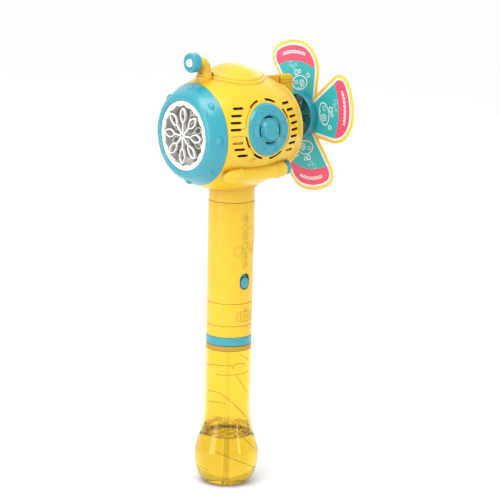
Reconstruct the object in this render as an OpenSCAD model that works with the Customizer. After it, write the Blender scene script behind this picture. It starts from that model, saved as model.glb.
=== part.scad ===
// Submarine-shaped bubble machine: a hand-held stick with a bottle of solution
// below the handle and a bubble-blowing head with a pinwheel at its tail.
// +Z is up along the handle, -Y is the nose, the origin is the middle of the
// bottle's flat foot.  All sizes are in millimetres.

/* [Bottle] */
// Radius of the flat foot
foot_r = 17; // [14:0.5:20]
// Widest radius of the belly
belly_r = 30.6; // [28:0.2:33]
// Height of the widest ring of the belly
belly_z = 30; // [26:1:34]
// Outer radius of the straight upper wall
bottle_r = 21.8; // [20:0.1:22]
// Height at which the belly has narrowed to the straight wall
waist_z = 74; // [66:1:84]
// Height of the shoulder, where the bottle meets the teal ring
bottle_h = 138; // [130:1:150]
// Wall thickness of the bottle
bottle_wall = 1.6; // [1.2:0.1:2.2]
// Height of the solution in the bottle
liquid_z = 48; // [20:1:90]

/* [Handle] */
// Outer radius at the top of the handle
grip_r = 22; // [20:0.5:24]
// Wall thickness of the handle
grip_wall = 2.2; // [1.8:0.1:2.4]
// Top of the teal ring
accent_top = 146.7; // [143:0.1:148]
// Top of the bottle socket
socket_top = 157.7; // [155:0.1:160]
// Top of the lower collar
collar_top = 179.4; // [176:0.1:182]
// Top of the handle, where the neck of the hull begins
grip_top = 277; // [275:1:280]
// Height of the middle of the power button
button_z = 201; // [198:1:204]
// Travel of the power button
button_travel = 1.2; // [0.6:0.1:1.4]

/* [Head] */
// Height of the nose axis
head_z = 343; // [340:1:346]
// Largest radius of the hull
hull_r = 56; // [54:0.5:58]
// Half length of the whole ellipse that the hull is cut from
hull_half = 78; // [75:0.5:80]
// Place of the hull's widest ring along the nose axis
hull_mid = -4.5; // [-6:0.5:-3]
// Wall thickness of the hull
hull_wall = 2.2; // [1.8:0.1:2.6]
// Joint between the nose ring and the hull
nose_seam = -45.5; // [-47:0.5:-44]
// Rear edge of the hull
hull_end = 51.5; // [50:0.5:53]
// Radius of the porthole covers
port_r = 24.3; // [22:0.1:25]
// Height of the middle of the portholes
port_z = 351; // [348:0.5:354]
// Place of the middle of the portholes along the nose axis
port_y = -2; // [-4:0.5:0]

/* [Bubble wheel and pinwheel] */
// Radius of the white outlet ring
outlet_r = 32.4; // [31:0.1:33]
// Number of loops in each layer of the bubble wheel
loops = 8; // [6:1:9]
// Outer reach of the bubble wheel
wheel_r = 26.6; // [24:0.1:26.8]
// Front face of the pinwheel blades
blade_y = 86.2; // [85:0.1:88]
// Thickness of a blade
blade_t = 1.2; // [0.8:0.1:1.6]
// Outer radius of the pinwheel's hub cup
cup_r = 21.8; // [20:0.1:23]
// Height of the pinwheel's axle above the nose axis
axle_lift = 6; // [0:0.5:8]

/* [Gears] */
// Tooth size of all gears, pitch diameter over teeth
gear_m = 0.8; // [0.8:0.05:0.8]
// Teeth of the gear on the main shaft
main_teeth = 40; // [40:1:40]
// Teeth of each pinion
pinion_teeth = 8; // [8:1:8]
// Teeth of the large wheel of the compound gear
compound_teeth = 32; // [32:1:32]
// Teeth of the pump gear
pump_teeth = 24; // [24:1:24]

/* [Hidden] */

$fn = 72;
eps = 0.5;

yellow = [0.99, 0.83, 0.16];
teal = [0.20, 0.72, 0.80];
white = [0.96, 0.96, 0.95];
steel = [0.75, 0.76, 0.78];
clear_yellow = [0.98, 0.82, 0.10, 0.5];

// ---- bottle ----
floor_t = 2.5;          // thickness of the bottle's floor
foot_power = 2.2;       // roundness of the curve below the belly
waist_power = 0.745;    // how early the belly narrows
neck_r = 17;            // outer radius of the threaded neck
neck_top = 154.5;       // top of the threaded neck
thread_r = 18.2;        // radius over the thread ridges
dip_r = 2.6;            // outer radius of the dip tube
dip_bore = 1.8;

// ---- bottle socket ----
sleeve_r = 20;          // outside of the socket's inner sleeve
sleeve_bore = 18.6;
socket_floor = 156;     // underside of the plate above the bottle's mouth
plate_top = 160;

// ---- handle ----
grip_bore = grip_r - grip_wall;
grip_low_r = grip_r - 0.25;
door_z0 = 208;
door_z1 = 273;
screw_z = 213.5;       // height of the door's screw
door_half_angle = 48;
door_gap = 0.3;
cell_r = 7.25;
cell_len = 50.5;
cell_z = 220.5;
cell_places = [[7.9, 0], [-5.1, 7.55], [-5.1, -7.55]];
hose_r = 2.1;           // outer radius of the silicone hose
hose_lane = [8.2, 14.2];

// ---- gear train, seen along the nose axis with X to the right and Z up ----
shaft_r = 1.5;
bearing_gap = 0.06;
motor_at = [0, 15];
main_pinion_dist = gear_m * (main_teeth + pinion_teeth) / 2;
motor_gear_dist = gear_m * (compound_teeth + pinion_teeth) / 2;
compound_dz = (main_pinion_dist * main_pinion_dist - motor_gear_dist * motor_gear_dist
    + motor_at.y * motor_at.y) / (2 * motor_at.y);
compound_dx = sqrt(main_pinion_dist * main_pinion_dist - compound_dz * compound_dz);
compound_at = [compound_dx, compound_dz];
pump_at = [0, -gear_m * (main_teeth + pump_teeth) / 2];
main_phase = atan2(compound_dz, compound_dx);
compound_small_phase = main_phase + 180 + 180 / pinion_teeth;
compound_big_phase = atan2(motor_at.y - compound_dz, -compound_dx);
motor_phase = compound_big_phase + 180 + 180 / pinion_teeth;
main_pitch_angle = 360 / main_teeth;
low_tooth = main_phase + main_pitch_angle * round((270 - main_phase) / main_pitch_angle);
pump_phase = 90 + 180 / pump_teeth + (270 - low_tooth) * main_teeth / pump_teeth;
front_plate_y = 24.5;   // front face of the front gearbox plate
rear_plate_y = 42.5;    // front face of the rear gearbox plate
plate_t = 2;
motor_gear_y = 28;      // front of the motor pinion and the large compound wheel
main_gear_y = 35;       // front of the output gear and the small compound pinion
gear_t = 5;
gear_posts = [[-27, 6], [-18, -20], [27, -10], [4, 28]];
pin_r = 1;
pump_shaft_r = 1.2;
roller_r = 2.6;
roller_at = 6.3;

// ---- head ----
lip_r = 41.2;           // raised lip at the hull's rear edge
dome_y = -3;
dome_flange_r = 31;
dome_step_r = 28.6;
dome_r = 27.6;
dome_ball_r = 37.5;
dome_top = 406.3;
scope_y = -36.1;        // the periscope's upright
scope_z = 410;          // the periscope's horizontal arm
scope_r = 5.8;
scope_bend = 7.3;
vent_pitch = 6.1;
vent_arc = 35.9;
vent_len = 8.9;
vent_h = 1.7;
rivet_ring_y = -53.7;

// ---------------------------------------------------------------- helpers

// Radius of the hull's ellipse at y, grown or shrunk evenly.
function hull_radius(y, grow = 0) =
    (hull_r + grow) * sqrt(max(0, 1 - pow((y - hull_mid) / (hull_half + grow), 2)));

// Turned solid about the nose axis from a list of [radius, y] points.
module turned(points) {
    translate([0, 0, head_z]) rotate([-90, 0, 0]) rotate_extrude($fn = 96) polygon(points);
}

// Solid of the hull's ellipse between two planes.
module hull_solid(grow, y0, y1, steps = 22) {
    turned(concat(
        [[0, y0]],
        [for (i = [0:steps]) let (y = y0 + (y1 - y0) * i / steps) [hull_radius(y, grow), y]],
        [[0, y1]]
    ));
}

// Cylinder along the nose direction, centred at [x, z] from the nose axis.
module rod(at, r, y0, y1) {
    translate([at.x, y0, head_z + at.y]) rotate([-90, 0, 0]) cylinder(r = r, h = y1 - y0);
}

// Outline in the XZ plane, measured from the nose axis, extruded from y0 to y1.
module plate_xz(y0, y1) {
    translate([0, y1, head_z]) rotate([90, 0, 0]) linear_extrude(y1 - y0) children();
}

// Outline in the YZ plane extruded over x0..x1.
module slab_yz(x0, x1) {
    translate([x0, 0, 0]) rotate([90, 0, 90]) linear_extrude(x1 - x0) children();
}

// Cylinder along X, centred at y, z.
module cross_rod(y, z, r, x0, x1) {
    translate([x0, y, z]) rotate([0, 90, 0]) cylinder(r = r, h = x1 - x0);
}

module tube(r_out, r_in, z0, z1) {
    difference() {
        translate([0, 0, z0]) cylinder(r = r_out, h = z1 - z0);
        translate([0, 0, z0 - 1]) cylinder(r = r_in, h = z1 - z0 + 2);
    }
}

// Stadium with its long axis along the second coordinate.
module stadium(w, h) {
    square([w, h - w], center = true);
    for (s = [-1, 1]) translate([0, s * (h - w) / 2]) circle(d = w);
}

// Gear outline with straight-flanked teeth, one tooth centred at the phase angle.
module gear_outline(teeth, phase) {
    pitch_r = gear_m * teeth / 2;
    tip = pitch_r + 0.9 * gear_m;
    root = pitch_r - 1.15 * gear_m;
    half = 90 / teeth;
    flank = [[root, -1.28], [pitch_r, -0.8], [tip, -0.38], [tip, 0.38], [pitch_r, 0.8], [root, 1.28]];
    polygon([for (i = [0:teeth - 1], f = flank)
        let (a = phase + 360 * i / teeth + f[1] * half) [f[0] * cos(a), f[0] * sin(a)]]);
}

module gear(at, teeth, phase, y0, y1) {
    plate_xz(y0, y1) translate(at) gear_outline(teeth, phase);
}

// Point on a smooth curve through four neighbours.
function blend(a, b, c, d, t) =
    0.5 * (2 * b + (c - a) * t + (2 * a - 5 * b + 4 * c - d) * t * t + (3 * b - a - 3 * c + d) * t * t * t);

// Smooth list of points through the given ones.
function smooth(p, n) = let (last = len(p) - 1) concat(
    [for (i = [0:last - 1], k = [0:n - 1])
        blend(p[max(i - 1, 0)], p[i], p[i + 1], p[min(i + 2, last)], k / n)],
    [p[last]]
);

function unit(v) = v / norm(v);

// Round rod swept along a list of points; side is any direction never along the path.
module swept(path, r, sides, side) {
    n = len(path);
    rings = [for (i = [0:n - 1])
        let (
            t = unit(path[min(i + 1, n - 1)] - path[max(i - 1, 0)]),
            u = unit(cross(t, side)),
            v = cross(t, u)
        )
        for (k = [0:sides - 1]) let (a = 360 * k / sides) path[i] + r * (cos(a) * u + sin(a) * v)
    ];
    faces = concat(
        [[for (k = [0:sides - 1]) k]],
        [for (i = [0:n - 2], k = [0:sides - 1]) let (j = (k + 1) % sides)
            [i * sides + j, i * sides + k, (i + 1) * sides + k, (i + 1) * sides + j]],
        [[for (k = [sides - 1:-1:0]) (n - 1) * sides + k]]
    );
    polyhedron(points = rings, faces = faces, convexity = 6);
}

// ---------------------------------------------------------------- bottle

// Outer radius of the bottle at height z.
function bottle_radius(z) =
    z <= belly_z
        ? foot_r + (belly_r - foot_r) * pow(1 - pow((belly_z - z) / belly_z, foot_power), 1 / foot_power)
    : z >= waist_z
        ? bottle_r
        : let (s = pow((z - belly_z) / (waist_z - belly_z), waist_power))
            bottle_r + (belly_r - bottle_r) * (1 + cos(180 * s)) / 2;

foot_steps = [for (i = [0:14]) belly_z * pow(i / 14, 1.6)];
waist_steps = [for (i = [1:16]) belly_z + (waist_z - belly_z) * i / 16];
bottle_steps = concat(foot_steps, waist_steps);

module bottle() {
    outer = [for (z = bottle_steps) [bottle_radius(z), z]];
    inner_steps = [for (z = bottle_steps) if (z > floor_t) z];
    inner = [for (i = [len(inner_steps) - 1:-1:0])
        [bottle_radius(inner_steps[i]) - bottle_wall, inner_steps[i]]];
    ridge = thread_r - neck_r;
    color(clear_yellow) {
        rotate_extrude() polygon(concat(
            [[0, 0]],
            outer,
            [[bottle_r, 129.5], [bottle_r + 0.3, 130.5], [bottle_r + 0.3, bottle_h]],
            [[neck_r, bottle_h], [neck_r, neck_top], [neck_r - bottle_wall, neck_top]],
            [[neck_r - bottle_wall, bottle_h - 2], [bottle_r - bottle_wall, bottle_h - 5]],
            inner,
            [[bottle_radius(floor_t) - bottle_wall, floor_t], [0, floor_t]]
        ));
        for (z = [142.5, 146.5, 150.5])
            rotate_extrude() polygon([
                [neck_r - 0.3, z - 1.2], [neck_r, z - 1.2], [neck_r + ridge, z - 0.4],
                [neck_r + ridge, z + 0.4], [neck_r, z + 1.2], [neck_r - 0.3, z + 1.2]
            ]);
    }
}

module bubble_solution() {
    gap = 0.02;
    steps = [for (z = bottle_steps) if (z > floor_t && z < liquid_z) z];
    wall = function (z) bottle_radius(z) - bottle_wall - gap;
    color([0.93, 0.78, 0.10, 0.6])
        rotate_extrude() polygon(concat(
            [[dip_r + 0.4, floor_t + gap], [wall(floor_t), floor_t + gap]],
            [for (z = steps) [wall(z), z]],
            [[wall(liquid_z), liquid_z], [dip_r + 0.4, liquid_z]]
        ));
}

module seal_ring() {
    color([0.25, 0.25, 0.26]) tube(17.8, 13.5, neck_top, socket_floor);
}

module dip_tube() {
    color([0.9, 0.93, 0.92]) tube(dip_r, dip_bore, 8, 166);
}

// ---------------------------------------------------------------- handle

module bottle_socket() {
    color(yellow) {
        tube(grip_low_r - 0.05, sleeve_r - eps, accent_top, socket_floor);
        tube(sleeve_r, sleeve_bore, bottle_h + 0.5, socket_floor);
        tube(grip_low_r - 0.05, dip_r, socket_floor, socket_top);
        tube(19.2, dip_r, socket_top, plate_top);
    }
}

module accent_ring() {
    color(teal) tube(bottle_r, sleeve_r, bottle_h + 0.4, accent_top);
}

module lower_collar() {
    color(yellow) difference() {
        union() {
            translate([0, 0, socket_top]) cylinder(r = grip_low_r, h = collar_top - socket_top);
            translate([0, 0, collar_top]) cylinder(r = grip_bore - 0.1, h = 4);
        }
        translate([0, 0, socket_top - 1]) cylinder(r = 19.2, h = plate_top - socket_top + 1);
        translate([0, 0, plate_top - 0.1]) cylinder(r = 17.4, h = 40);
    }
}

// Wedge of the door about -X, with its sides moved out by gap.
module door_wedge(gap) {
    reach = 40;
    a = door_half_angle;
    translate([0, 0, door_z0 - gap]) linear_extrude(door_z1 - door_z0 + 2 * gap)
        offset_wedge(reach, a, gap);
}

module offset_wedge(reach, a, gap) {
    polygon([
        [0, gap / sin(a)], [-reach * cos(a), reach * sin(a) + gap / sin(a)],
        [-reach * cos(a), -reach * sin(a) - gap / sin(a)], [0, -gap / sin(a)]
    ]);
}

module handle_tube() {
    color(yellow) difference() {
        union() {
            difference() {
                translate([0, 0, collar_top])
                    cylinder(r1 = grip_low_r, r2 = grip_r, h = grip_top - collar_top);
                translate([0, 0, collar_top - 1]) cylinder(r = grip_bore, h = 200);
                door_wedge(0);
            }
            // cross bar with the boss for the door screw
            intersection() {
                union() {
                    translate([-12, -25, screw_z - 4]) cube([4, 50, 8]);
                    cross_rod(0, screw_z, 3.2, -18, -9);
                }
                cylinder(r = grip_bore + eps, h = grip_top);
            }
        }
        slab_yz(10, 30) translate([0, button_z]) stadium(10.8, 15.5);
        cross_rod(0, screw_z, 1.3, -30, -9);
    }
}

module battery_door() {
    color(yellow) difference() {
        intersection() {
            tube(grip_r - 0.1, grip_bore, door_z0, door_z1);
            door_wedge(-door_gap);
        }
        cross_rod(0, screw_z, 1.3, -30, -10);
        cross_rod(0, screw_z, 2.8, -23, -20.9);
    }
}

module door_screw() {
    color(steel) difference() {
        union() {
            cross_rod(0, screw_z, 2.4, -21.9, -20.9);
            cross_rod(0, screw_z, 1.15, -20.9, -10);
        }
        translate([-21.9, 0, screw_z]) cube([1.2, 0.7, 3.4], center = true);
        translate([-21.9, 0, screw_z]) cube([1.2, 3.4, 0.7], center = true);
    }
}

// Tray for the cells: end walls, ribs between the cells and lanes for the hose and the wires.
module battery_holder() {
    z0 = door_z0 + 10.5;
    color([0.2, 0.2, 0.22]) difference() {
        translate([0, 0, z0]) cylinder(r = grip_bore - 0.3, h = cell_len + 5);
        for (c = cell_places) translate([c.x, c.y, cell_z - 0.5]) cylinder(r = cell_r + 0.15, h = cell_len + 1.6);
        for (s = [-1, 1]) translate([hose_lane.x, s * hose_lane.y, z0 - 1]) cylinder(r = 2.6, h = 80);
        for (s = [-1, 1]) translate([hose_lane.x, s * hose_lane.y - (s > 0 ? 0 : 8), z0 - 1]) cube([2.6, 8, 80]);
        translate([-30, -30, cell_z - 0.5]) cube([24.9, 60, cell_len + 1.6]);
        translate([-30, -30, z0 - 1]) cube([14, 60, 80]);
        translate([12, -30, cell_z + 4]) cube([20, 60, cell_len - 8]);
    }
}

module battery_cells() {
    for (c = cell_places) translate([c.x, c.y, 0]) {
        color([0.15, 0.35, 0.30]) translate([0, 0, cell_z]) cylinder(r = cell_r, h = cell_len - 1);
        color(steel) translate([0, 0, cell_z + cell_len - 1]) cylinder(r = 2.75, h = 1);
    }
}

// Nickel plate above each cell and a short spring below it.
module battery_contacts() {
    color(steel) for (c = cell_places) {
        translate([c.x - 4, c.y - 3.5, cell_z + cell_len + 0.3]) cube([8, 7, 0.4]);
        translate([c.x, c.y, cell_z - 0.42]) difference() {
            cylinder(r = 3.2, h = 0.4);
            translate([0, 0, -1]) cylinder(r = 2.4, h = 3);
        }
    }
}

module circuit_board() {
    z0 = button_z - 16;
    color([0.10, 0.42, 0.24]) translate([9.4, -10, z0]) cube([1.6, 20, 31]);
    color([0.1, 0.1, 0.1]) translate([7.6, -4, z0 + 3]) cube([1.8, 8, 6]);
    color([0.55, 0.38, 0.15]) for (y = [-6, 6]) cross_rod(y, z0 + 24, 2.5, 4.4, 9.4);
    color([0.85, 0.8, 0.6]) for (y = [-7, -5, 5, 7]) translate([11, y - 0.6, z0 + 3]) cube([0.8, 1.2, 2.2]);
}

module tact_switch() {
    color([0.12, 0.12, 0.13]) difference() {
        translate([11, -3.5, button_z - 3.5]) cube([3.6, 7, 7]);
        cross_rod(0, button_z, 1.8, 11.6, 20);
    }
}

module power_button() {
    stem_r = 1.6;
    color(teal) {
        cross_rod(0, button_z, stem_r, 13.2, 16.9);
        intersection() {
            slab_yz(16.8, 18.3) translate([0, button_z]) stadium(12.4, 17.6);
            cylinder(r = grip_bore - 0.5, h = grip_top);
        }
        slab_yz(18.3, 20.7) translate([0, button_z]) stadium(9.9, 14.6);
        slab_yz(20.7, 22.3) translate([0, button_z]) stadium(9.2, 10.9);
    }
}

module wire_loom() {
    up = [[8.6, -9, 212.4], [8.5, -10.4, 213.6], [8.3, -13.2, 216.4], [hose_lane.x, -hose_lane.y, 219.5],
        [hose_lane.x, -hose_lane.y, 245],
        [hose_lane.x, -hose_lane.y, 272], [5, -12, 290], [6, 4, 318], [9, 10, 338], [7, 6, 347]];
    color([0.75, 0.12, 0.10]) swept([for (p = smooth(up, 4)) p + [0, -0.9, 0]], 0.75, 6, [0, 1, 0.2]);
    color([0.10, 0.10, 0.10]) swept([for (p = smooth(up, 4)) p + [0, 0.9, 0]], 0.75, 6, [0, 1, 0.2]);
}

// ---------------------------------------------------------------- hull

// Side slots: a column of seven in front of the porthole and eight behind it.
module vents(side) {
    for (i = [0:7]) {
        z = head_z + 28.9 - vent_pitch * i;
        reach = sqrt(vent_arc * vent_arc - pow(z - port_z, 2));
        for (front = [true, false]) if (!(front && i == 4)) {
            y = port_y + (front ? -reach : reach);
            translate([side > 0 ? 30 : -70, y - vent_len / 2, z - vent_h / 2]) cube([40, vent_len, vent_h]);
        }
    }
}

module hull_shell() {
    difference() {
        union() {
            hull_solid(0, nose_seam, hull_end);
            turned([[0, hull_end - 2.4], [lip_r, hull_end - 2.4], [lip_r - 0.4, hull_end], [0, hull_end]]);
            translate([0, 0, grip_top]) cylinder(r = grip_r - 0.3, h = 40);
            // saddle-shaped flange where the hull meets the neck
            intersection() {
                hull_solid(1.3, nose_seam, hull_end);
                translate([0, 0, grip_top]) cylinder(r = grip_r + 2.6, h = 40);
            }
        }
        hull_solid(-hull_wall, nose_seam - 1, hull_end + 1);
        translate([0, 0, grip_top - 1]) cylinder(r = grip_bore, h = 60);
        cross_rod(port_y, port_z, port_r - 3.5, -80, 80);
        rod([0, 0], 38.6, hull_end - 10, hull_end + 1);
        vents(1);
        vents(-1);
        translate([0, scope_y, head_z]) cylinder(r = scope_r - 1.6, h = 100);
    }
    // ribs that the gearbox and the air duct rest against, open below for the hoses
    difference() {
        intersection() {
            hull_solid(-hull_wall + 0.2, 0, 30);
            difference() {
                rod([0, 0], 60, front_plate_y - 2.2, front_plate_y);
                rod([0, 0], 33, front_plate_y - 4, front_plate_y + 1);
            }
        }
        translate([-19, 0, head_z - 70]) cube([38, 40, 70]);
    }
    difference() {
        intersection() {
            hull_solid(-hull_wall + 0.2, -34, -20);
            difference() {
                rod([0, 0], 60, -31, -29);
                rod([0, 0], 31, -35, -20);
            }
        }
        translate([-12, -40, head_z - 70]) cube([24, 30, 50]);
    }
}

module hull_half(side) {
    intersection() {
        hull_shell();
        translate([side > 0 ? 0 : -100, -100, 200]) cube([100, 200, 300]);
    }
}

module hull_right() {
    color(yellow) hull_half(1);
}

module hull_left() {
    color(yellow) hull_half(-1);
}

// Screws that clamp the two halves, driven in from the left, and those of the gearbox.
module case_screws() {
    color(steel) {
        for (p = gear_posts) {
            rod(p, 2.4, rear_plate_y + plate_t, rear_plate_y + plate_t + 1.6);
            rod(p, 1.15, rear_plate_y - 6, rear_plate_y + plate_t + 0.1);
        }
    }
}

// Teal ring between the hull and the white outlet, with eight rivet heads.
module nose_ring() {
    turn = -57.5;
    steps = 7;
    seam_in = hull_radius(nose_seam, -hull_wall);
    color(teal) {
        turned(concat(
            [for (i = [0:steps]) let (y = nose_seam + (turn - nose_seam) * i / steps) [hull_radius(y), y]],
            [[38.6, -59.8], [36.6, -60.8], [34.4, -61.1], [outlet_r + 0.4, -60.5], [outlet_r + 0.1, -59.8]],
            [[outlet_r + 0.1, -57.6], [30.6, -57.6], [30.6, -55.4], [38.5, -55.4]],
            [for (i = [0:5]) let (y = -54.5 + (nose_seam + 54.5) * i / 5) [hull_radius(y, -hull_wall), y]]
        ));
        turned([[seam_in - 2, -47.5], [seam_in - 0.2, -47.5], [seam_in - 0.2, -42.3], [seam_in - 2, -42.3]]);
        intersection() {
            translate([0, 0, head_z]) rotate([0, 22.5, 0]) translate([0, 0, -head_z]) difference() {
                hull_solid(1.3, -59.5, nose_seam - 1);
                hull_solid(-0.5, -60, nose_seam);
            }
            translate([0, 0, head_z]) for (a = [0:45:315]) rotate([0, -a, 0])
                translate([43.4, rivet_ring_y, 0]) rotate([0, 0, -30.3]) rotate([0, 90, 0])
                    cylinder(r = 4.4, h = 8, center = true);
        }
    }
}

// Dished cover of the hull's tail, with the long sleeve that carries the shaft.
// Dished plate in the hull's tail, with a raised snout that carries the pinwheel's axle.
module rear_cover() {
    y = hull_end - 4.9;
    color(yellow) {
        difference() {
            turned([[0, y], [38.2, y], [38.2, y + 1.8], [21.5, y + 3.4], [0, y + 3.4]]);
            rod([0, axle_lift], 14.4, y - 1, y + 5);
        }
        translate([0, 0, axle_lift]) turned([
            [shaft_r + bearing_gap, 73], [shaft_r + bearing_gap, 79.5], [5, 79.5], [6.5, 64], [15, y + 3.4],
            [15, y], [14, y], [5, 62], [4, 73]
        ]);
    }
}

module tower_dome() {
    color(yellow) difference() {
        union() {
            intersection() {
                hull_solid(1.5, -40, 30);
                translate([0, dome_y, head_z]) cylinder(r = dome_flange_r, h = 80);
            }
            intersection() {
                hull_solid(3, -40, 30);
                translate([0, dome_y, head_z]) cylinder(r = dome_step_r, h = 80);
            }
            intersection() {
                translate([0, dome_y, dome_top - dome_ball_r]) sphere(r = dome_ball_r);
                translate([0, dome_y, head_z + 20]) cylinder(r = dome_r, h = 60);
            }
        }
        hull_solid(0, -45, 45);
        translate([0, scope_y, head_z]) cylinder(r = 8.3, h = 80);
    }
}

module periscope_pipe() {
    bore = scope_r - 1.6;
    corner_y = scope_y - scope_bend;
    corner_z = scope_z - scope_bend;
    color(yellow) {
        difference() {
            union() {
                translate([0, scope_y, head_z + 30]) cylinder(r = 8, h = 23.8);
                translate([0, scope_y, head_z + 40]) cylinder(r = 6.9, h = 15.6);
                translate([0, scope_y, head_z + 45]) cylinder(r = scope_r, h = corner_z - head_z - 45);
            }
            hull_solid(0, -50, 0);
            translate([0, scope_y, head_z]) cylinder(r = bore, h = 80);
        }
        translate([0, corner_y, corner_z]) rotate([90, 0, 90]) rotate_extrude(angle = 90)
            translate([scope_bend, 0]) difference() {
                circle(r = scope_r);
                circle(r = bore);
            }
        translate([0, 0, scope_z - head_z]) turned([
            [bore, corner_y], [scope_r, corner_y], [scope_r, corner_y - 5.2], [bore, corner_y - 5.2]
        ]);
    }
}

module periscope_cap() {
    color(teal) translate([0, 0, scope_z - head_z]) turned([
        [scope_r, -45.4], [8.2, -45.4], [9.3, -46.4], [9.0, -49.6], [9.2, -53.2], [8.4, -54.4], [5.6, -54.4],
        [4.8, -53.6], [3.7, -53.6], [3.7, -50], [scope_r, -50]
    ]);
}

// White diffused lamp that looks out of the periscope.
module periscope_lamp() {
    color(white) translate([0, 0, scope_z - head_z]) turned(concat(
        [[0, -49.2], [4.1, -49.2], [4.1, -50], [3.6, -50]],
        [for (a = [0:15:90]) [3.6 * cos(a), -53.6 - 3.4 * sin(a)]]
    ));
}

module tail_fin() {
    top = head_z + 47.6;
    color(yellow) difference() {
        union() {
            slab_yz(-2.4, 2.4) polygon([[14, top - 20], [26, top - 0.6], [58, top - 0.6], [58, 366], [46, 366]]);
            slab_yz(-4.2, 4.2) polygon([
                [54, top - 2], [55.5, top], [67.6, top], [69.2, top - 1.6], [69.2, 371.5], [67.5, 366], [54, 366]
            ]);
        }
        hull_solid(0, -10, hull_end + 1);
        turned([[0, hull_end - 2.4], [lip_r, hull_end - 2.4], [lip_r - 0.4, hull_end], [0, hull_end]]);
        rod([0, 0], 41, hull_end - 8, hull_end + 0.01);
        for (z = [top - 5.2, top - 8]) translate([3.7, 50, z]) cube([2, 30, 0.8]);
        for (z = [top - 5.2, top - 8]) translate([-5.7, 50, z]) cube([2, 30, 0.8]);
    }
}

// Teal cover that follows the hull's curve, with a raised boss and slots for sound.
module port_layer(low, high, r) {
    intersection() {
        translate([0, 0, head_z]) rotate([0, 120, 0]) translate([0, 0, -head_z]) difference() {
            hull_solid(high, port_y - 30, port_y + 30);
            hull_solid(low, port_y - 31, port_y + 31);
        }
        cross_rod(port_y, port_z, r, 10, 70);
    }
}

module porthole(collar) {
    slot_r = 12.3;
    color(teal) difference() {
        union() {
            port_layer(0, 1.5, port_r);
            port_layer(-hull_wall, 0.8, port_r - 3.8);
            port_layer(0.6, 2.9, 10);
            if (collar) difference() {
                cross_rod(port_y, port_z, 16, 45.5, 51);
                cross_rod(port_y, port_z, 14.8, 44, 48.8);
            }
        }
        for (a = [0:90:270]) translate([0, port_y, port_z]) rotate([a, 0, 0])
            translate([50, 0, slot_r]) cube([14, 9, 1.3], center = true);
    }
}

module porthole_right() {
    porthole(true);
}

module porthole_left() {
    mirror([1, 0, 0]) porthole(false);
}

module speaker() {
    color([0.2, 0.2, 0.22]) {
        difference() {
            cross_rod(port_y, port_z, 14.7, 44.5, 48.4);
            translate([46, port_y, port_z]) rotate([0, 90, 0]) cylinder(r1 = 5, r2 = 12.5, h = 2.5);
        }
        cross_rod(port_y, port_z, 8.5, 39.5, 44.5);
    }
}

// Side pod: a turned body with a pointed nose and two bands, let into the hull.
module pod_body() {
    r = 7.6;
    tail = 25;
    translate([45.2, 0, 310.6]) rotate([0, 0, -3.6]) rotate([1.6, 0, 0]) rotate([-90, 0, 0]) rotate_extrude($fn = 48)
        polygon(concat(
            [[0, -49]],
            [for (i = [1:7]) [r * pow(sin(90 * i / 7), 0.75), -49 + 13 * (1 - cos(90 * i / 7)) ]],
            [[r, -30], [r + 0.7, -29.4], [r + 0.7, -27.6], [r, -27]],
            [[r, tail - 12], [r + 0.7, tail - 11.4], [r + 0.7, tail - 9.6], [r, tail - 9]],
            [for (i = [0:5]) [2 + (r - 2) * cos(90 * i / 5), tail - 5.6 + 5.6 * sin(90 * i / 5)]],
            [[0, tail]]
        ));
}

module pod(side) {
    mirror([side > 0 ? 0 : 1, 0, 0]) color(yellow) difference() {
        pod_body();
        hull_solid(0, nose_seam, hull_end);
        rod([0, 0], 52, nose_seam - 20, nose_seam);
        translate([0, -60, 290]) cube([28, 120, 30]);
    }
}

module pod_right() {
    pod(1);
}

module pod_left() {
    pod(-1);
}

// Small teal discs at the tails of the two pods.
module pod_nozzles() {
    color(teal) for (side = [0, 1]) mirror([side, 0, 0]) difference() {
        translate([43.4, 25.3, 311.4]) rotate([-90, 0, -3.6]) cylinder(r1 = 6.6, r2 = 7.3, h = 4.5);
        hull_solid(0, nose_seam, hull_end);
    }
}

// ---------------------------------------------------------------- bubble outlet

module outlet_ring() {
    arm = 2.2;
    color(white) {
        difference() {
            rod([0, 0], outlet_r, -60, -57.6);
            plate_xz(-61, -57) union() {
                circle(r = 27.2);
                for (i = [0:15]) rotate(22.5 * i) translate([24.6, 0]) circle(r = 3.9);
            }
        }
        turned([[28.6, -57.7], [28.6, -49.5], [30.4, -49.5], [30.4, -57.7]]);
        difference() {
            union() {
                rod([0, 0], 4, -52, -49.5);
                plate_xz(-51.5, -49.5) for (a = [90, 210, 330]) rotate(a) translate([0, -arm / 2]) square([28.8, arm]);
            }
            rod([0, 0], shaft_r + bearing_gap, -60, -40);
        }
    }
}

// Pointed oval between two arcs, long axis outwards.
module petal(length, width) {
    r = (length * length + width * width) / (4 * width);
    intersection() {
        translate([0, r - width / 2]) circle(r = r);
        translate([0, width / 2 - r]) circle(r = r);
    }
}

module loop_layer(reach, length, width, rim, phase) {
    for (i = [0:loops - 1]) rotate(phase + 360 * i / loops) {
        difference() {
            translate([reach - length / 2, 0]) petal(length, width);
            translate([reach - length / 2, 0]) petal(length - 2.6 * rim, width - 2 * rim);
        }
        translate([2, -0.7]) square([reach - length - 1.4, 1.4]);
    }
}

module bubble_wheel() {
    color(white) {
        plate_xz(-61.4, -58.6) difference() {
            union() {
                circle(r = 3.4);
                loop_layer(wheel_r, 15.4, 8.2, 1.1, 0);
            }
            circle(r = shaft_r);
        }
        plate_xz(-58.6, -55.8) difference() {
            circle(r = 3.4);
            circle(r = shaft_r);
        }
        plate_xz(-55.8, -53.6) difference() {
            union() {
                circle(r = 3.4);
                loop_layer(23, 12, 7, 1.0, 180 / loops);
            }
            circle(r = shaft_r);
        }
    }
}

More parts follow.
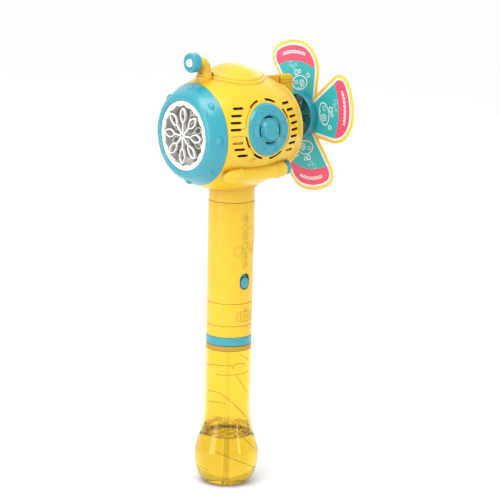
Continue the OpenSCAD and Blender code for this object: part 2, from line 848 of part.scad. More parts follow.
module air_duct() {
    color(white) {
        difference() {
            turned([[29.4, -47.5], [29.4, -14], [31, -14], [31, -47.5]]);
            translate([-4, -49, 305]) cube([8, 10, 12]);
        }
        difference() {
            rod([0, 0], 31, -14, -12);
            rod([0, 0], shaft_r + bearing_gap, -20, 0);
            rod(motor_at, 12, -20, 0);
        }
    }
}

// Spout that wets the loops from below, behind the wheel.
module feed_nozzle() {
    color(white) difference() {
        union() {
            translate([-6, -52.4, 315]) cube([12, 1.9, 7]);
            translate([0, -45.4, 312.2]) rotate([90, 0, 0]) cylinder(r = 3.4, h = 7);
            translate([-3, -52.4, 309.5]) cube([6, 3, 6]);
        }
        translate([0, -45, 312.2]) rotate([90, 0, 0]) cylinder(r = hose_r + 0.1, h = 4.4);
        turned([[28.5, -60], [28.5, -49.4], [30.5, -49.4], [30.5, -60]]);
    }
}

delivery_path = [[10.6, 18, 307.2], [10.6, 18, 306.2], [10.5, 15.4, 303], [10, 4, 301.5], [7, -18, 302.5],
    [2.4, -34, 305.5], [0, -41.4, 311], [0, -45, 312.2], [0, -47, 312.2], [0, -49.3, 312.2]];
suction_path = [[-10.6, 18, 307.3], [-10.6, 18, 306.2], [-9.4, 17, 301], [-6, 14.5, 295], [1, 14.6, 286], [6.8, 14.6, 278],
    [8.2, 14.2, 268], [8.2, 14.2, 245], [8.2, 14.2, 222], [8.2, 13.6, 200], [6.5, 11, 186], [1.6, 2.6, 174],
    [0, 0, 168], [0, 0, 166.1]];

module delivery_hose() {
    color([0.92, 0.94, 0.9]) swept(smooth(delivery_path, 4), hose_r, 8, [1, 0, 0.1]);
}

module suction_hose() {
    color([0.92, 0.94, 0.9]) swept(smooth(suction_path, 3), hose_r, 8, [0.2, 1, 0]);
}

// ---------------------------------------------------------------- pump

pump_in_r = 9.3;
pump_out_r = 11.9;

// Arch of soft hose that the rollers squeeze, with a straight leg at each side.
module pump_hose() {
    y0 = 15.4;
    y1 = 20.6;
    color([0.92, 0.94, 0.9]) {
        plate_xz(y0, y1) translate(pump_at) difference() {
            circle(r = pump_out_r);
            circle(r = pump_in_r);
            translate([-20, -20]) square([40, 20]);
        }
        for (s = [-1, 1]) translate([s > 0 ? pump_in_r : -pump_out_r, y0, 308])
            cube([pump_out_r - pump_in_r, y1 - y0, head_z + pump_at.y - 308]);
    }
}

// Arched housing, open towards the gearbox plate.
module pump_housing() {
    floor_y = 10.5;
    wall_r = pump_out_r + 0.3;
    color([0.55, 0.57, 0.6]) {
        plate_xz(floor_y, floor_y + 2) translate(pump_at) difference() {
            union() {
                circle(r = wall_r + 1.6);
                translate([-wall_r - 1.6, -9]) square([2 * wall_r + 3.2, 9]);
            }
            circle(r = pump_shaft_r + bearing_gap);
        }
        plate_xz(floor_y + 2, front_plate_y) translate(pump_at) difference() {
            union() {
                circle(r = wall_r + 1.6);
                translate([-wall_r - 1.6, -9]) square([2 * wall_r + 3.2, 9]);
            }
            circle(r = wall_r);
            translate([-wall_r, -20]) square([2 * wall_r, 20]);
        }
    }
}

// Two-armed carrier on its shaft.
module pump_rotor() {
    color([0.9, 0.5, 0.2]) {
        rod(pump_at, pump_shaft_r, floor_of_pump_shaft, main_gear_y + gear_t + 3.5 + plate_t);
        for (y = [13.2, 21.4]) plate_xz(y, y + 1.4) translate(pump_at) difference() {
            union() {
                circle(r = 3.4);
                translate([-roller_at, -2]) square([2 * roller_at, 4]);
                for (s = [-1, 1]) translate([s * roller_at, 0]) circle(r = 2);
            }
            circle(r = pump_shaft_r);
        }
        rod(pump_at, 3.2, 14.6, 21.4);
        for (s = [-1, 1]) rod(pump_at + [s * roller_at, 0], pin_r, 14.5, 21.5);
    }
}

floor_of_pump_shaft = 10.6;

module pump_roller(side) {
    color(white) difference() {
        rod(pump_at + [side * roller_at, 0], roller_r, 15, 21);
        rod(pump_at + [side * roller_at, 0], pin_r + bearing_gap, 14, 22);
    }
}

module pump_roller_1() {
    pump_roller(1);
}

module pump_roller_2() {
    pump_roller(-1);
}

module pump_gear() {
    color([0.9, 0.9, 0.85]) difference() {
        union() {
            gear(pump_at, pump_teeth, pump_phase, main_gear_y, main_gear_y + gear_t);
            rod(pump_at, 3.2, main_gear_y - 3, main_gear_y);
        }
        rod(pump_at, pump_shaft_r, 20, 60);
    }
}

// ---------------------------------------------------------------- motor and gearbox

module motor_can() {
    at = motor_at;
    color(steel) difference() {
        union() {
            intersection() {
                rod(at, 10, 0, front_plate_y);
                translate([at.x - 12, -1, head_z + at.y - 7.7]) cube([24, 40, 15.4]);
            }
            rod(at, 3, -1.5, 0);
            rod(at, 3, front_plate_y, front_plate_y + 1.6);
        }
        rod(at, pin_r + bearing_gap, -5, 40);
    }
}

// Motor shaft with the pinion pressed on its rear end.
module motor_shaft() {
    color([0.8, 0.66, 0.32]) {
        rod(motor_at, pin_r, -15, motor_gear_y + gear_t + 1);
        gear(motor_at, pinion_teeth, motor_phase, motor_gear_y, motor_gear_y + gear_t);
    }
}

module fan_impeller() {
    color([0.25, 0.55, 0.85]) difference() {
        union() {
            rod(motor_at, 3.2, -16.5, -8);
            translate([motor_at.x, -12.2, head_z + motor_at.y]) rotate([-90, 0, 0]) for (i = [0:4])
                rotate(72 * i) intersection() {
                    translate([2.6, 0, 0]) rotate([34, 0, 0]) translate([0, -3.8, -0.45]) cube([9, 7.6, 0.9]);
                    translate([0, 0, -5]) cylinder(r = 11.2, h = 10);
                }
        }
        rod(motor_at, pin_r, -15.01, 0);
    }
}

module plate_holes() {
    circle(r = shaft_r + bearing_gap);
    translate(pump_at) circle(r = pump_shaft_r + bearing_gap);
}

module gearbox_front_plate() {
    y = front_plate_y;
    color([0.92, 0.92, 0.9]) {
        plate_xz(y, y + plate_t) difference() {
            union() {
                circle(r = 36);
                translate(pump_at) circle(r = 15);
            }
            plate_holes();
            translate(motor_at) circle(r = 3);
            for (a = [150, 200]) rotate(a) translate([28, 0]) circle(r = 4);
        }
        for (p = gear_posts) difference() {
            rod(p, 2.6, y + plate_t, rear_plate_y);
            rod(p, 1.15, rear_plate_y - 7, rear_plate_y + 1);
        }
        rod(compound_at, pin_r, y + plate_t - 0.1, rear_plate_y);
    }
}

module gearbox_rear_plate() {
    color([0.92, 0.92, 0.9]) plate_xz(rear_plate_y, rear_plate_y + plate_t) difference() {
        union() {
            circle(r = 31);
            translate(pump_at) circle(r = 11);
        }
        plate_holes();
        for (p = gear_posts) translate(p) circle(r = 1.15);
    }
}

module compound_gear() {
    at = compound_at;
    big_y = motor_gear_y;
    small_y = main_gear_y;
    color([0.9, 0.9, 0.85]) difference() {
        union() {
            gear(at, compound_teeth, compound_big_phase, big_y, big_y + gear_t);
            gear(at, pinion_teeth, compound_small_phase, small_y, small_y + gear_t);
            rod(at, 2.1, big_y - 1.2, small_y + gear_t + 2);
        }
        rod(at, pin_r + bearing_gap, 20, 50);
    }
}

module output_gear() {
    color([0.9, 0.9, 0.85]) difference() {
        union() {
            gear([0, 0], main_teeth, main_phase, main_gear_y, main_gear_y + gear_t);
            rod([0, 0], 4, motor_gear_y - 1, main_gear_y);
            rod([0, 0], 4, main_gear_y + gear_t, rear_plate_y - 0.4);
        }
        rod([0, 0], shaft_r, 20, 50);
    }
}

module main_shaft() {
    color(steel) rod([0, 0], shaft_r, -60.6, rear_plate_y + plate_t + 2);
}

// ---------------------------------------------------------------- pinwheel

// Blade outline: the tip is a large arc, the two sides are straight and lean apart,
// and each side turns into the tip through a corner arc.
tip_at = [12.8, 8.3];
tip_r = 59;
lead_side = [34.8, 6.6, 13.3];   // lean, distance from the hub, corner radius
trail_side = [9.6, 17.4, 27.2];
blade_root = 7;
blade_phase = 94.6;

// Points of one side, from the hub end to the middle of the tip; way is +1 or -1.
function blade_side(side, way) =
    let (
        lean = side[0],
        rc = side[2],
        slope = tan(lean),
        offset_v = side[1] - rc / cos(lean) - way * tip_at.y,
        qa = 1 + slope * slope,
        qb = 2 * (offset_v * slope - tip_at.x),
        qc = tip_at.x * tip_at.x + offset_v * offset_v - pow(tip_r - rc, 2),
        cu = (-qb + sqrt(qb * qb - 4 * qa * qc)) / (2 * qa),
        cv = offset_v + cu * slope,
        a0 = 90 + lean,
        a1 = atan2(cv, cu - tip_at.x)
    )
    concat(
        [for (i = [0:8]) let (a = a0 + (a1 - a0) * i / 8)
            [cu + rc * cos(a), way * (cv + rc * sin(a)) + tip_at.y]],
        [for (i = [1:10]) let (a = a1 - a1 * i / 10)
            [tip_at.x + tip_r * cos(a), way * tip_r * sin(a) + tip_at.y]]
    );

// Place of the screw that clamps one blade.
function clamp_at(i) = 12 * [cos(blade_phase + 90 * i), sin(blade_phase + 90 * i)];

function reversed(p) = [for (i = [len(p) - 1:-1:0]) p[i]];

module blade_outline() {
    lead = blade_side(lead_side, 1);
    trail = blade_side(trail_side, -1);
    root_lead = [blade_root, lead_side[1] + blade_root * tan(lead_side[0])];
    difference() {
        polygon(concat([[0.1, lead_side[1]]], [root_lead], lead, reversed(trail), [[0.1, -trail_side[1]]]));
        // the neighbour's leading side covers the foot of this blade
        rotate(-90) translate([0, lead_side[1] + 0.15]) polygon([
            [-60, -60 * tan(lead_side[0]) - 80], [-60, -60 * tan(lead_side[0])],
            [60, 60 * tan(lead_side[0])], [60, -80]
        ]);
        circle(r = blade_root);
    }
}

module blade(index) {
    color(index % 2 == 0 ? [0.20, 0.72, 0.72] : [0.22, 0.74, 0.74])
        translate([0, 0, axle_lift]) plate_xz(blade_y, blade_y + blade_t)
            rotate(blade_phase - 90 * (index - 1)) difference() {
                blade_outline();
                translate([12, 0]) circle(r = 1.3);
            }
}

module blade_1() {
    blade(1);
}

module blade_2() {
    blade(2);
}

module blade_3() {
    blade(3);
}

module blade_4() {
    blade(4);
}

// Cup with the axle moulded on. A small head behind the bearing keeps the axle in the rear cover.
module pinwheel_hub() {
    back = blade_y;
    color(teal) translate([0, 0, axle_lift]) {
        difference() {
            turned([
                [0, 80.4], [4.6, 80.4], [4.6, back - 1.8], [19.4, back - 1.8], [20.2, back - 3], [20.4, 77.6],
                [cup_r, 77.6], [cup_r + 0.3, 80], [cup_r, back - 1], [cup_r - 1, back], [0, back]
            ]);
            for (i = [0:3]) rod(clamp_at(i), 1.3, 80, 90);
        }
        for (i = [0:5]) plate_xz(81.5, back - 1.7) rotate(60 * i + 15) translate([4.4, -0.6]) square([15.4, 1.2]);
        turned([[0, 69], [1.8, 69], [2.6, 70.4], [2.6, 72.4], [shaft_r, 72.4], [shaft_r, 93], [0, 93]]);
    }
}

module hub_back_plate() {
    y = blade_y + blade_t;
    color(teal) translate([0, 0, axle_lift]) difference() {
        rod([0, 0], 17, y, y + 2);
        rod([0, 0], shaft_r, y - 1, y + 3);
        for (i = [0:3]) rod(clamp_at(i), 1.3, y - 1, y + 3);
    }
}

// Four screws that clamp the blades and the acorn nut on the end of the axle.
module hub_fasteners() {
    y = blade_y + blade_t + 2;
    color(steel) translate([0, 0, axle_lift]) {
        for (i = [0:3]) {
            rod(clamp_at(i), 1.3, blade_y - 1.7, y + 0.1);
            rod(clamp_at(i), 2.4, y, y + 1.4);
        }
        difference() {
            turned([[0, y], [4.2, y], [4.2, y + 2.4], [3.4, y + 4.4], [1.6, y + 5.6], [0, y + 5.9]]);
            rod([0, 0], shaft_r, y - 1, 93);
        }
    }
}

// ---------------------------------------------------------------- output

bottle();
bubble_solution();
seal_ring();
dip_tube();
bottle_socket();
accent_ring();
lower_collar();
handle_tube();
battery_door();
door_screw();
battery_holder();
battery_cells();
battery_contacts();
circuit_board();
tact_switch();
power_button();
wire_loom();
hull_right();
hull_left();
nose_ring();
rear_cover();
tower_dome();
periscope_pipe();
periscope_cap();
periscope_lamp();
tail_fin();
porthole_right();
porthole_left();
speaker();
pod_right();
pod_left();
pod_nozzles();
case_screws();
outlet_ring();
air_duct();
feed_nozzle();
delivery_hose();
suction_hose();
pump_hose();
pump_housing();
pump_rotor();
pump_gear();
pump_roller_1();
pump_roller_2();
motor_can();
motor_shaft();
fan_impeller();
gearbox_front_plate();
gearbox_rear_plate();
compound_gear();
output_gear();
main_shaft();
bubble_wheel();
pinwheel_hub();
blade_1();
blade_2();
blade_3();
blade_4();
hub_back_plate();
hub_fasteners();
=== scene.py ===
# Looks of a hand-held, submarine-shaped bubble machine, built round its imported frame.
# Every helper takes millimetres in the frame's own axes: +Z up the handle, -Y the nose.
from math import asin, atan2, copysign, cos, exp, pi, radians as rad, sin, sqrt, tan

import bmesh
import bpy
from mathutils import Matrix, Vector


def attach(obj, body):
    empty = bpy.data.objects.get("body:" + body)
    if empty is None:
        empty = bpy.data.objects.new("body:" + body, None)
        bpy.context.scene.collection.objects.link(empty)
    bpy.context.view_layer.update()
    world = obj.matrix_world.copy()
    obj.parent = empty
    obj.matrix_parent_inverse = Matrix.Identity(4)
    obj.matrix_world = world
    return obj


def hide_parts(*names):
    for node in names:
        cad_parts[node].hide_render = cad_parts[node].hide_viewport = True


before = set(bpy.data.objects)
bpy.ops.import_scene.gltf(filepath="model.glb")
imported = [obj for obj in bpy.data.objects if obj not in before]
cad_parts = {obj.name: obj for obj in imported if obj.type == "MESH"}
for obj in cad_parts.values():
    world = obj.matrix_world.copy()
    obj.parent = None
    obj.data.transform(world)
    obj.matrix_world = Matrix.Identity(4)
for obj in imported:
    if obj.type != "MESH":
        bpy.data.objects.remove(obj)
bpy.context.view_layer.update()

MM = 0.001
TAU = 2 * pi
ROOT = "handle_and_hull"
HEAD = 343.0  # height of the nose axis
LIFT = 6.0  # height of the pinwheel's axle above the nose axis
SEAM = -45.5  # where the nose ring meets the hull
PORT_Y, PORT_Z = -2.0, 351.0  # middle of the portholes
PIPE_Y, PIPE_Z = -36.1, 410.0  # periscope: its foot, and the height of its bent end
HANDLE_R = 22.0
SCREW_Z, BUTTON_Z = 213.5, 201.0


# ---- mesh helpers

def linked(data):
    ob = bpy.data.objects.new("part", data)
    bpy.context.scene.collection.objects.link(ob)
    return ob


def new_object(verts, faces):
    """Mesh object from millimetre points."""
    me = bpy.data.meshes.new("part")
    me.from_pydata([(x * MM, y * MM, z * MM) for x, y, z in verts], [], faces)
    return linked(me)


def clean(ob, merge=0.002):
    bm = bmesh.new()
    bm.from_mesh(ob.data)
    bmesh.ops.remove_doubles(bm, verts=bm.verts, dist=merge * MM)
    bmesh.ops.dissolve_degenerate(bm, edges=bm.edges, dist=merge * MM * 0.5)
    bmesh.ops.recalc_face_normals(bm, faces=bm.faces)
    if bm.calc_volume(signed=True) < 0:
        bmesh.ops.reverse_faces(bm, faces=bm.faces)
    bm.to_mesh(ob.data)
    bm.free()
    return ob


def bake(ob):
    """Replaces a curve, or a mesh with modifiers, by the plain mesh it makes."""
    graph = bpy.context.evaluated_depsgraph_get()
    graph.update()
    me = bpy.data.meshes.new_from_object(ob.evaluated_get(graph))
    if ob.type == "CURVE":
        bpy.data.objects.remove(ob)
        return linked(me)
    ob.modifiers.clear()
    ob.data = me
    return ob


def joined(parts):
    bm = bmesh.new()
    for p in parts:
        bm.from_mesh(p.data)
    me = bpy.data.meshes.new("part")
    bm.to_mesh(me)
    bm.free()
    for p in parts:
        bpy.data.objects.remove(p)
    return linked(me)


def boolean(ob, tools, operation="DIFFERENCE"):
    """Cuts with one object, or with a list of them joined into one."""
    tool = joined(tools) if isinstance(tools, list) else tools
    mod = ob.modifiers.new("cut", "BOOLEAN")
    mod.operation = operation
    mod.solver = "EXACT"
    mod.object = tool
    bpy.context.view_layer.update()
    bake(ob)
    bpy.data.objects.remove(tool)
    return clean(ob, 0.0005)


def cut_each(ob, tools):
    for tool in tools:
        boolean(ob, tool)


def lifted(ob, by=LIFT):
    """Moves what was made about the nose axis up, as a rule to the pinwheel's axle."""
    ob.data.transform(Matrix.Translation((0, 0, by * MM)))
    return ob


def wear(parts, name, slot, node=None, mat=None, body=ROOT, sharp=32):
    """Gives a finished piece its name, material, smooth shading and place in the frame."""
    ob = clean(joined(parts) if isinstance(parts, list) else parts)
    ob.name = ob.data.name = name
    mats = mat if isinstance(mat, list) else [mat or LOOK[slot]]
    index = [p.material_index if len(mats) > 1 else 0 for p in ob.data.polygons]
    ob.data.materials.clear()
    for m in mats:
        ob.data.materials.append(m)
    ob.data.polygons.foreach_set("material_index", index)
    ob.data.shade_smooth()
    ob.data.set_sharp_from_angle(angle=rad(sharp))
    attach(ob, body)
    if node:
        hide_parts(node)


def span(a, b, n):
    """Values from a to b in n equal steps, with both ends."""
    return [a + (b - a) * k / n for k in range(n + 1)]


def root(x):
    return sqrt(max(0.0, x))


def turned_by(loop, a):
    c, s = cos(a), sin(a)
    return [(x * c - y * s, x * s + y * c) for x, y in loop]


def fillet(points, steps=4):
    """Rounds the corners of an outline of (a, b) or (a, b, radius) points."""
    out = []
    for i, p in enumerate(points):
        if len(p) < 3:
            out.append(p)
            continue
        o = Vector(p[:2])
        a = Vector(points[i - 1][:2]) - o
        b = Vector(points[(i + 1) % len(points)][:2]) - o
        la, lb = a.length, b.length
        a.normalize()
        b.normalize()
        half = a.angle(b) / 2
        reach = min(p[2] / tan(half), la * 0.49, lb * 0.49)
        r = reach * tan(half)
        centre = o + (a + b).normalized() * (r / sin(half))
        s, e = o + a * reach - centre, o + b * reach - centre
        start = atan2(s.y, s.x)
        turn = (atan2(e.y, e.x) - start + pi) % TAU - pi
        out += [(centre.x + r * cos(t), centre.y + r * sin(t)) for t in span(start, start + turn, steps)]
    return out


def nose_axis(x, y, h):
    return (x, h, HEAD + y)


def lathe(profile, seg=96, place=None):
    """Turned mesh from (radius, height) points. It is a solid if the profile starts and ends at
    radius 0, or else a closed ring. place maps its own x, y, height to the frame."""
    solid = profile[0][0] < 1e-6 and profile[-1][0] < 1e-6
    rows, verts = [], []
    for r, h in profile:
        if r < 1e-6:
            rows.append([len(verts)] * seg)
            verts.append((0, 0, h))
        else:
            rows.append(list(range(len(verts), len(verts) + seg)))
            verts += [(r * cos(TAU * k / seg), r * sin(TAU * k / seg), h) for k in range(seg)]
    faces = []
    for low, high in list(zip(rows, rows[1:])) + ([] if solid else [(rows[-1], rows[0])]):
        for k in range(seg):
            j = (k + 1) % seg
            ring = [low[k], low[j], high[j], high[k]]
            ring = [v for i, v in enumerate(ring) if v != ring[i - 1]]
            if len(ring) > 2:
                faces.append(ring)
    return clean(new_object([place(*v) for v in verts] if place else verts, faces))


def prism(loops, low, high, edge=0.0, place=None):
    """Plate between two levels from closed outlines; a loop inside another is a hole."""
    cu = bpy.data.curves.new("outline", "CURVE")
    cu.dimensions = "2D"
    cu.fill_mode = "BOTH"
    cu.extrude = ((high - low) / 2 - edge) * MM
    cu.bevel_depth = edge * MM
    cu.offset = -edge * MM
    cu.bevel_resolution = 2
    for loop in loops:
        s = cu.splines.new("POLY")
        s.points.add(len(loop) - 1)
        for p, (a, b) in zip(s.points, loop):
            p.co = (a * MM, b * MM, 0, 1)
        s.use_cyclic_u = True
    ob = linked(cu)
    bpy.context.view_layer.update()
    ob = bake(ob)
    mid = (high + low) / 2 * MM
    for v in ob.data.vertices:
        v.co.z += mid
        if place:
            v.co = Vector(place(v.co.x / MM, v.co.y / MM, v.co.z / MM)) * MM
    return clean(ob)


def plate_xz(loops, y0, y1, edge=0.25):
    """Plate square to the nose axis; outlines are (x, z) from that axis."""
    return prism(loops, y0, y1, edge, nose_axis)


def slab_yz(loop, x0, x1, edge=0.25):
    return prism([loop], x0, x1, edge, lambda a, b, h: (h, a, b))


def stadium(w, h, n=10):
    """Upright rounded slot, w wide and h high."""
    top = [(w / 2 * cos(t), h / 2 - w / 2 + w / 2 * sin(t)) for t in span(0, pi, n)]
    return top + [(-x, -y) for x, y in top]


def box_mesh(low, high):
    (a, b, c), (d, e, f) = low, high
    v = [(a, b, c), (d, b, c), (d, e, c), (a, e, c), (a, b, f), (d, b, f), (d, e, f), (a, e, f)]
    return new_object(v, [(0, 3, 2, 1), (4, 5, 6, 7), (0, 1, 5, 4), (1, 2, 6, 5), (2, 3, 7, 6), (3, 0, 4, 7)])


def from_handle(p):
    return (p.x, p.y, 0)


def tube(path, r, seg=8, up=from_handle, closed=False, flat=1.0):
    """Round bar along points. up(point) is the outward direction, along which flat squashes it."""
    pts = [Vector(p) for p in path]
    n = len(pts)
    verts, faces = [], []
    for i, p in enumerate(pts):
        a = pts[i - 1] if (i or closed) else p
        b = pts[(i + 1) % n] if (i < n - 1 or closed) else p
        t = (b - a).normalized()
        ref = Vector(up(p))
        u = (ref - t * ref.dot(t)).normalized()
        w = t.cross(u)
        for k in range(seg):
            c, s = cos(TAU * k / seg), sin(TAU * k / seg)
            verts.append(tuple(p + u * (r * flat * c) + w * (r * s)))
    for i in range(n if closed else n - 1):
        j = (i + 1) % n
        for k in range(seg):
            m = (k + 1) % seg
            faces.append((i * seg + k, i * seg + m, j * seg + m, j * seg + k))
    if not closed:
        faces.append(tuple(range(seg))[::-1])
        faces.append(tuple((n - 1) * seg + k for k in range(seg)))
    return clean(new_object(verts, faces))


def rod(a, b, r, seg=32, edge=0.0):
    """Cylinder from point a to point b, with its rim rounded by edge."""
    a, b = Vector(a), Vector(b)
    d = b - a
    turn = d.to_track_quat("Z", "Y")
    rim = (edge,) if edge else ()
    prof = fillet([(0, 0), (r, 0) + rim, (r, d.length) + rim, (0, d.length)], 3)
    return lathe(prof, seg, lambda x, y, h: tuple(a + turn @ Vector((x, y, h))))


# ---- surfaces

def hull_r(y, h=0.0):
    """Radius of the hull about the nose axis, h above its skin."""
    return (56 + h) * root(1 - ((y + 4.5) / (78 + h)) ** 2)


def on_hull(y, angle, h=0.0):
    """Point on the hull; the angle is 0 at +X and a quarter turn at the top."""
    r = hull_r(y, h)
    return (r * cos(angle), y, HEAD + r * sin(angle))


def beside(side):
    """Surface for things laid on the hull's flank: a along the nose axis, b up."""
    def at(a, b, h):
        y, z = PORT_Y + a, PORT_Z + b
        return (side * root(hull_r(y, h) ** 2 - (z - HEAD) ** 2), y, z)
    return at


def on_handle(angle, z, r=HANDLE_R):
    """Point on the handle; the angle is 0 at the front and a quarter turn at +X."""
    return (r * sin(angle), -r * cos(angle), z)


# ---- materials

def lin(r, g, b):
    """Linear colour from an sRGB one of 0 to 255."""
    f = lambda c: (c / 255 / 12.92) if c <= 10.3 else ((c / 255 + 0.055) / 1.055) ** 2.4
    return (f(r), f(g), f(b), 1.0)


class Graph:
    """Short way to write a material's node tree."""

    def __init__(self, name):
        self.mat = bpy.data.materials.new(name)
        self.mat.use_nodes = True
        self.tree = self.mat.node_tree
        self.bsdf = self.tree.nodes["Principled BSDF"]
        self.coords = self.tree.nodes.new("ShaderNodeTexCoord")

    def put(self, n, **inputs):
        """Links or sets inputs: i0 is the first one, Base_Color the one of that name."""
        for key, value in inputs.items():
            s = n.inputs[int(key[1:])] if key[1:].isdigit() else n.inputs[key.replace("_", " ")]
            if isinstance(value, bpy.types.NodeSocket):
                self.tree.links.new(value, s)
            else:
                s.default_value = value
        return n

    def node(self, kind, **inputs):
        return self.put(self.tree.nodes.new(kind), **inputs)

    def set(self, **inputs):
        self.put(self.bsdf, **inputs)

    def calc(self, operation, a, b=0.0):
        n = self.tree.nodes.new("ShaderNodeMath")
        n.operation = operation
        return self.put(n, i0=a, i1=b).outputs[0]

    def noise(self, scale, detail, rough):
        return self.node("ShaderNodeTexNoise", Vector=self.coords.outputs["Object"], Scale=scale,
                         Detail=detail, Roughness=rough).outputs["Fac"]

    def spread(self, value, low=0.0, high=1.0, src=(0.3, 0.7)):
        return self.node("ShaderNodeMapRange", Value=value, From_Min=src[0], From_Max=src[1],
                         To_Min=low, To_Max=high).outputs[0]

    def mix(self, fac, a, b):
        n = self.tree.nodes.new("ShaderNodeMix")
        n.data_type = "RGBA"
        return self.put(n, i0=fac, i6=a, i7=b).outputs[2]

    def bump(self, height, strength, distance, **before):
        return self.node("ShaderNodeBump", Strength=strength, Distance=distance, Height=height,
                         **before).outputs[0]


def tinted(rgb, k):
    return tuple(min(1.0, c * k) for c in rgb[:3]) + (1.0,)


def plastic(name, rgb, rough=0.30, coat=0.0, vary=0.05, painted_shade_rgb=None, sss=0.0):
    """Moulded plastic: faint flow variation, painted shade in creases and under overhangs, fine grain and
    soft waviness.
    """
    g = Graph(name)
    flow = g.noise(14, 4, 0.55)
    speck = g.noise(420, 2, 0.6)
    base = g.mix(g.spread(flow), tinted(rgb, 1 - vary), tinted(rgb, 1 + vary * 0.6))
    # Painted shade: ambient occlusion within 45 mm mixes the colour towards the darker shade colour in
    # creases, recesses and under overhangs such as the neck below the hull.
    painted_shade_ao = g.node("ShaderNodeAmbientOcclusion", Distance=0.045)
    painted_shade_ao.samples = 12
    shade = g.spread(painted_shade_ao.outputs["AO"], 1.0, 0, (0.2, 0.97))
    g.set(Base_Color=g.mix(shade, base, painted_shade_rgb or tinted(rgb, 0.72)), IOR=1.5,
          Roughness=g.spread(speck, rough - 0.012, rough + 0.02))
    fine = g.bump(g.noise(2600, 2, 0.5), 0.03, 0.0001)
    g.set(Normal=g.bump(g.noise(46, 1, 0.4), 0.05, 0.0006, Normal=fine))
    if coat:
        g.set(Coat_Weight=coat, Coat_Roughness=0.12)
    if sss:
        g.set(Subsurface_Weight=sss, Subsurface_Radius=(1.0, 0.7, 0.3), Subsurface_Scale=0.002)
    return g.mat


def metal(name, rgb, rough):
    g = Graph(name)
    fine = g.noise(900, 3, 0.6)
    g.set(Base_Color=g.mix(g.spread(fine), tinted(rgb, 0.9), rgb), Metallic=1.0,
          Roughness=g.spread(fine, rough - 0.06, rough + 0.12), Normal=g.bump(fine, 0.06, 0.0001))
    return g.mat


def rubber(name, rgb, rough, clear=0.0):
    g = Graph(name)
    speck = g.noise(900, 3, 0.6)
    g.set(Base_Color=g.mix(g.spread(speck), tinted(rgb, 0.85), rgb), Transmission_Weight=clear,
          Roughness=g.spread(speck, rough - 0.1, rough + 0.1), Normal=g.bump(speck, 0.15, 0.0001))
    return g.mat


def clear_plastic(name, rgb, rough, ior, wave):
    g = Graph(name)
    g.set(Base_Color=g.mix(g.spread(g.noise(9, 3, 0.5)), tinted(rgb, 0.97), rgb), Roughness=rough,
          Transmission_Weight=1.0, IOR=ior, Normal=g.bump(g.noise(24, 2, 0.5), wave, 0.0012))
    return g.mat


def lamp_material():
    g = Graph("frosted_lens")
    speck = g.noise(900, 2, 0.5)
    g.set(Base_Color=g.mix(speck, lin(240, 240, 238), lin(255, 255, 255)),
          Roughness=g.spread(speck, 0.3, 0.42), Emission_Color=(1, 1, 1, 1), Emission_Strength=0.5,
          Subsurface_Weight=0.3, Subsurface_Scale=0.002)
    return g.mat


# The second, darker colour of each plastic is the painted shade it takes in creases and under overhangs.
M_YELLOW = plastic("yellow_plastic", lin(233, 192, 24), 0.33, 0.25, painted_shade_rgb=lin(184, 122, 10), sss=0.06)
M_TEAL = plastic("teal_plastic", lin(46, 156, 172), 0.28, 0.35, painted_shade_rgb=lin(32, 124, 142), sss=0.04)
M_WHITE = plastic("white_plastic", lin(244, 243, 240), 0.4, 0.1, painted_shade_rgb=lin(206, 203, 198), sss=0.05)
M_STEEL = metal("plated_steel", lin(205, 206, 210), 0.28)
M_LAMP = lamp_material()
M_BOTTLE = clear_plastic("clear_yellow_plastic", lin(252, 229, 98), 0.03, 1.46, 0.25)
M_LIQUID = clear_plastic("bubble_solution", lin(249, 246, 180), 0.0, 1.33, 0.1)
M_FOAM = clear_plastic("foam", lin(252, 240, 150), 0.1, 1.3, 0.6)
M_AMBER = rubber("amber_shoulder", lin(255, 222, 124), 0.4)
# Dark brown of the bottle's raised curves: painted shade for the dark streaks seen through the clear wall.
M_STREAK_SHADE = plastic("hairline", lin(112, 84, 22), 0.4)
M_RIM = plastic("printed_yellow", lin(246, 210, 84), 0.36, 0.1, vary=0.02)
M_SHEET = plastic("printed_white", lin(250, 250, 248), 0.36, 0.1, vary=0.01)
LOOK = {"yellow": M_YELLOW, "teal": M_TEAL, "white": M_WHITE, "steel": M_STEEL}   # by slot


# ---- camera, light, floor

def camera():
    turn, rise, roll, away = rad(49.51), rad(12.917), rad(1.368), 2272.24
    target = Vector((11.92, 13.96, 227.81))
    back = Vector((sin(turn) * cos(rise), -cos(turn) * cos(rise), sin(rise)))
    right = Vector((cos(turn), sin(turn), 0))
    up = back.cross(right)
    m = Matrix((right * cos(roll) + up * sin(roll), up * cos(roll) - right * sin(roll), back))
    m = m.transposed().to_4x4()
    m.translation = (target + back * away) * MM
    cam = linked(bpy.data.cameras.new("camera"))
    cam.name = "camera"
    cam.matrix_world = m
    cam.data.lens = 172.8
    cam.data.sensor_width = 36
    cam.data.clip_end = 50
    bpy.context.scene.camera = cam


def softbox(name, at, look, size, power):
    """Area light at a point in metres, turned towards another."""
    data = bpy.data.lights.new(name, "AREA")
    data.shape = "RECTANGLE"
    data.size, data.size_y = size
    data.energy = power
    ob = linked(data)
    ob.name = name
    ob.location = at
    ob.rotation_euler = (Vector(at) - Vector(look)).to_track_quat("Z", "Y").to_euler()
    ob.visible_camera = False


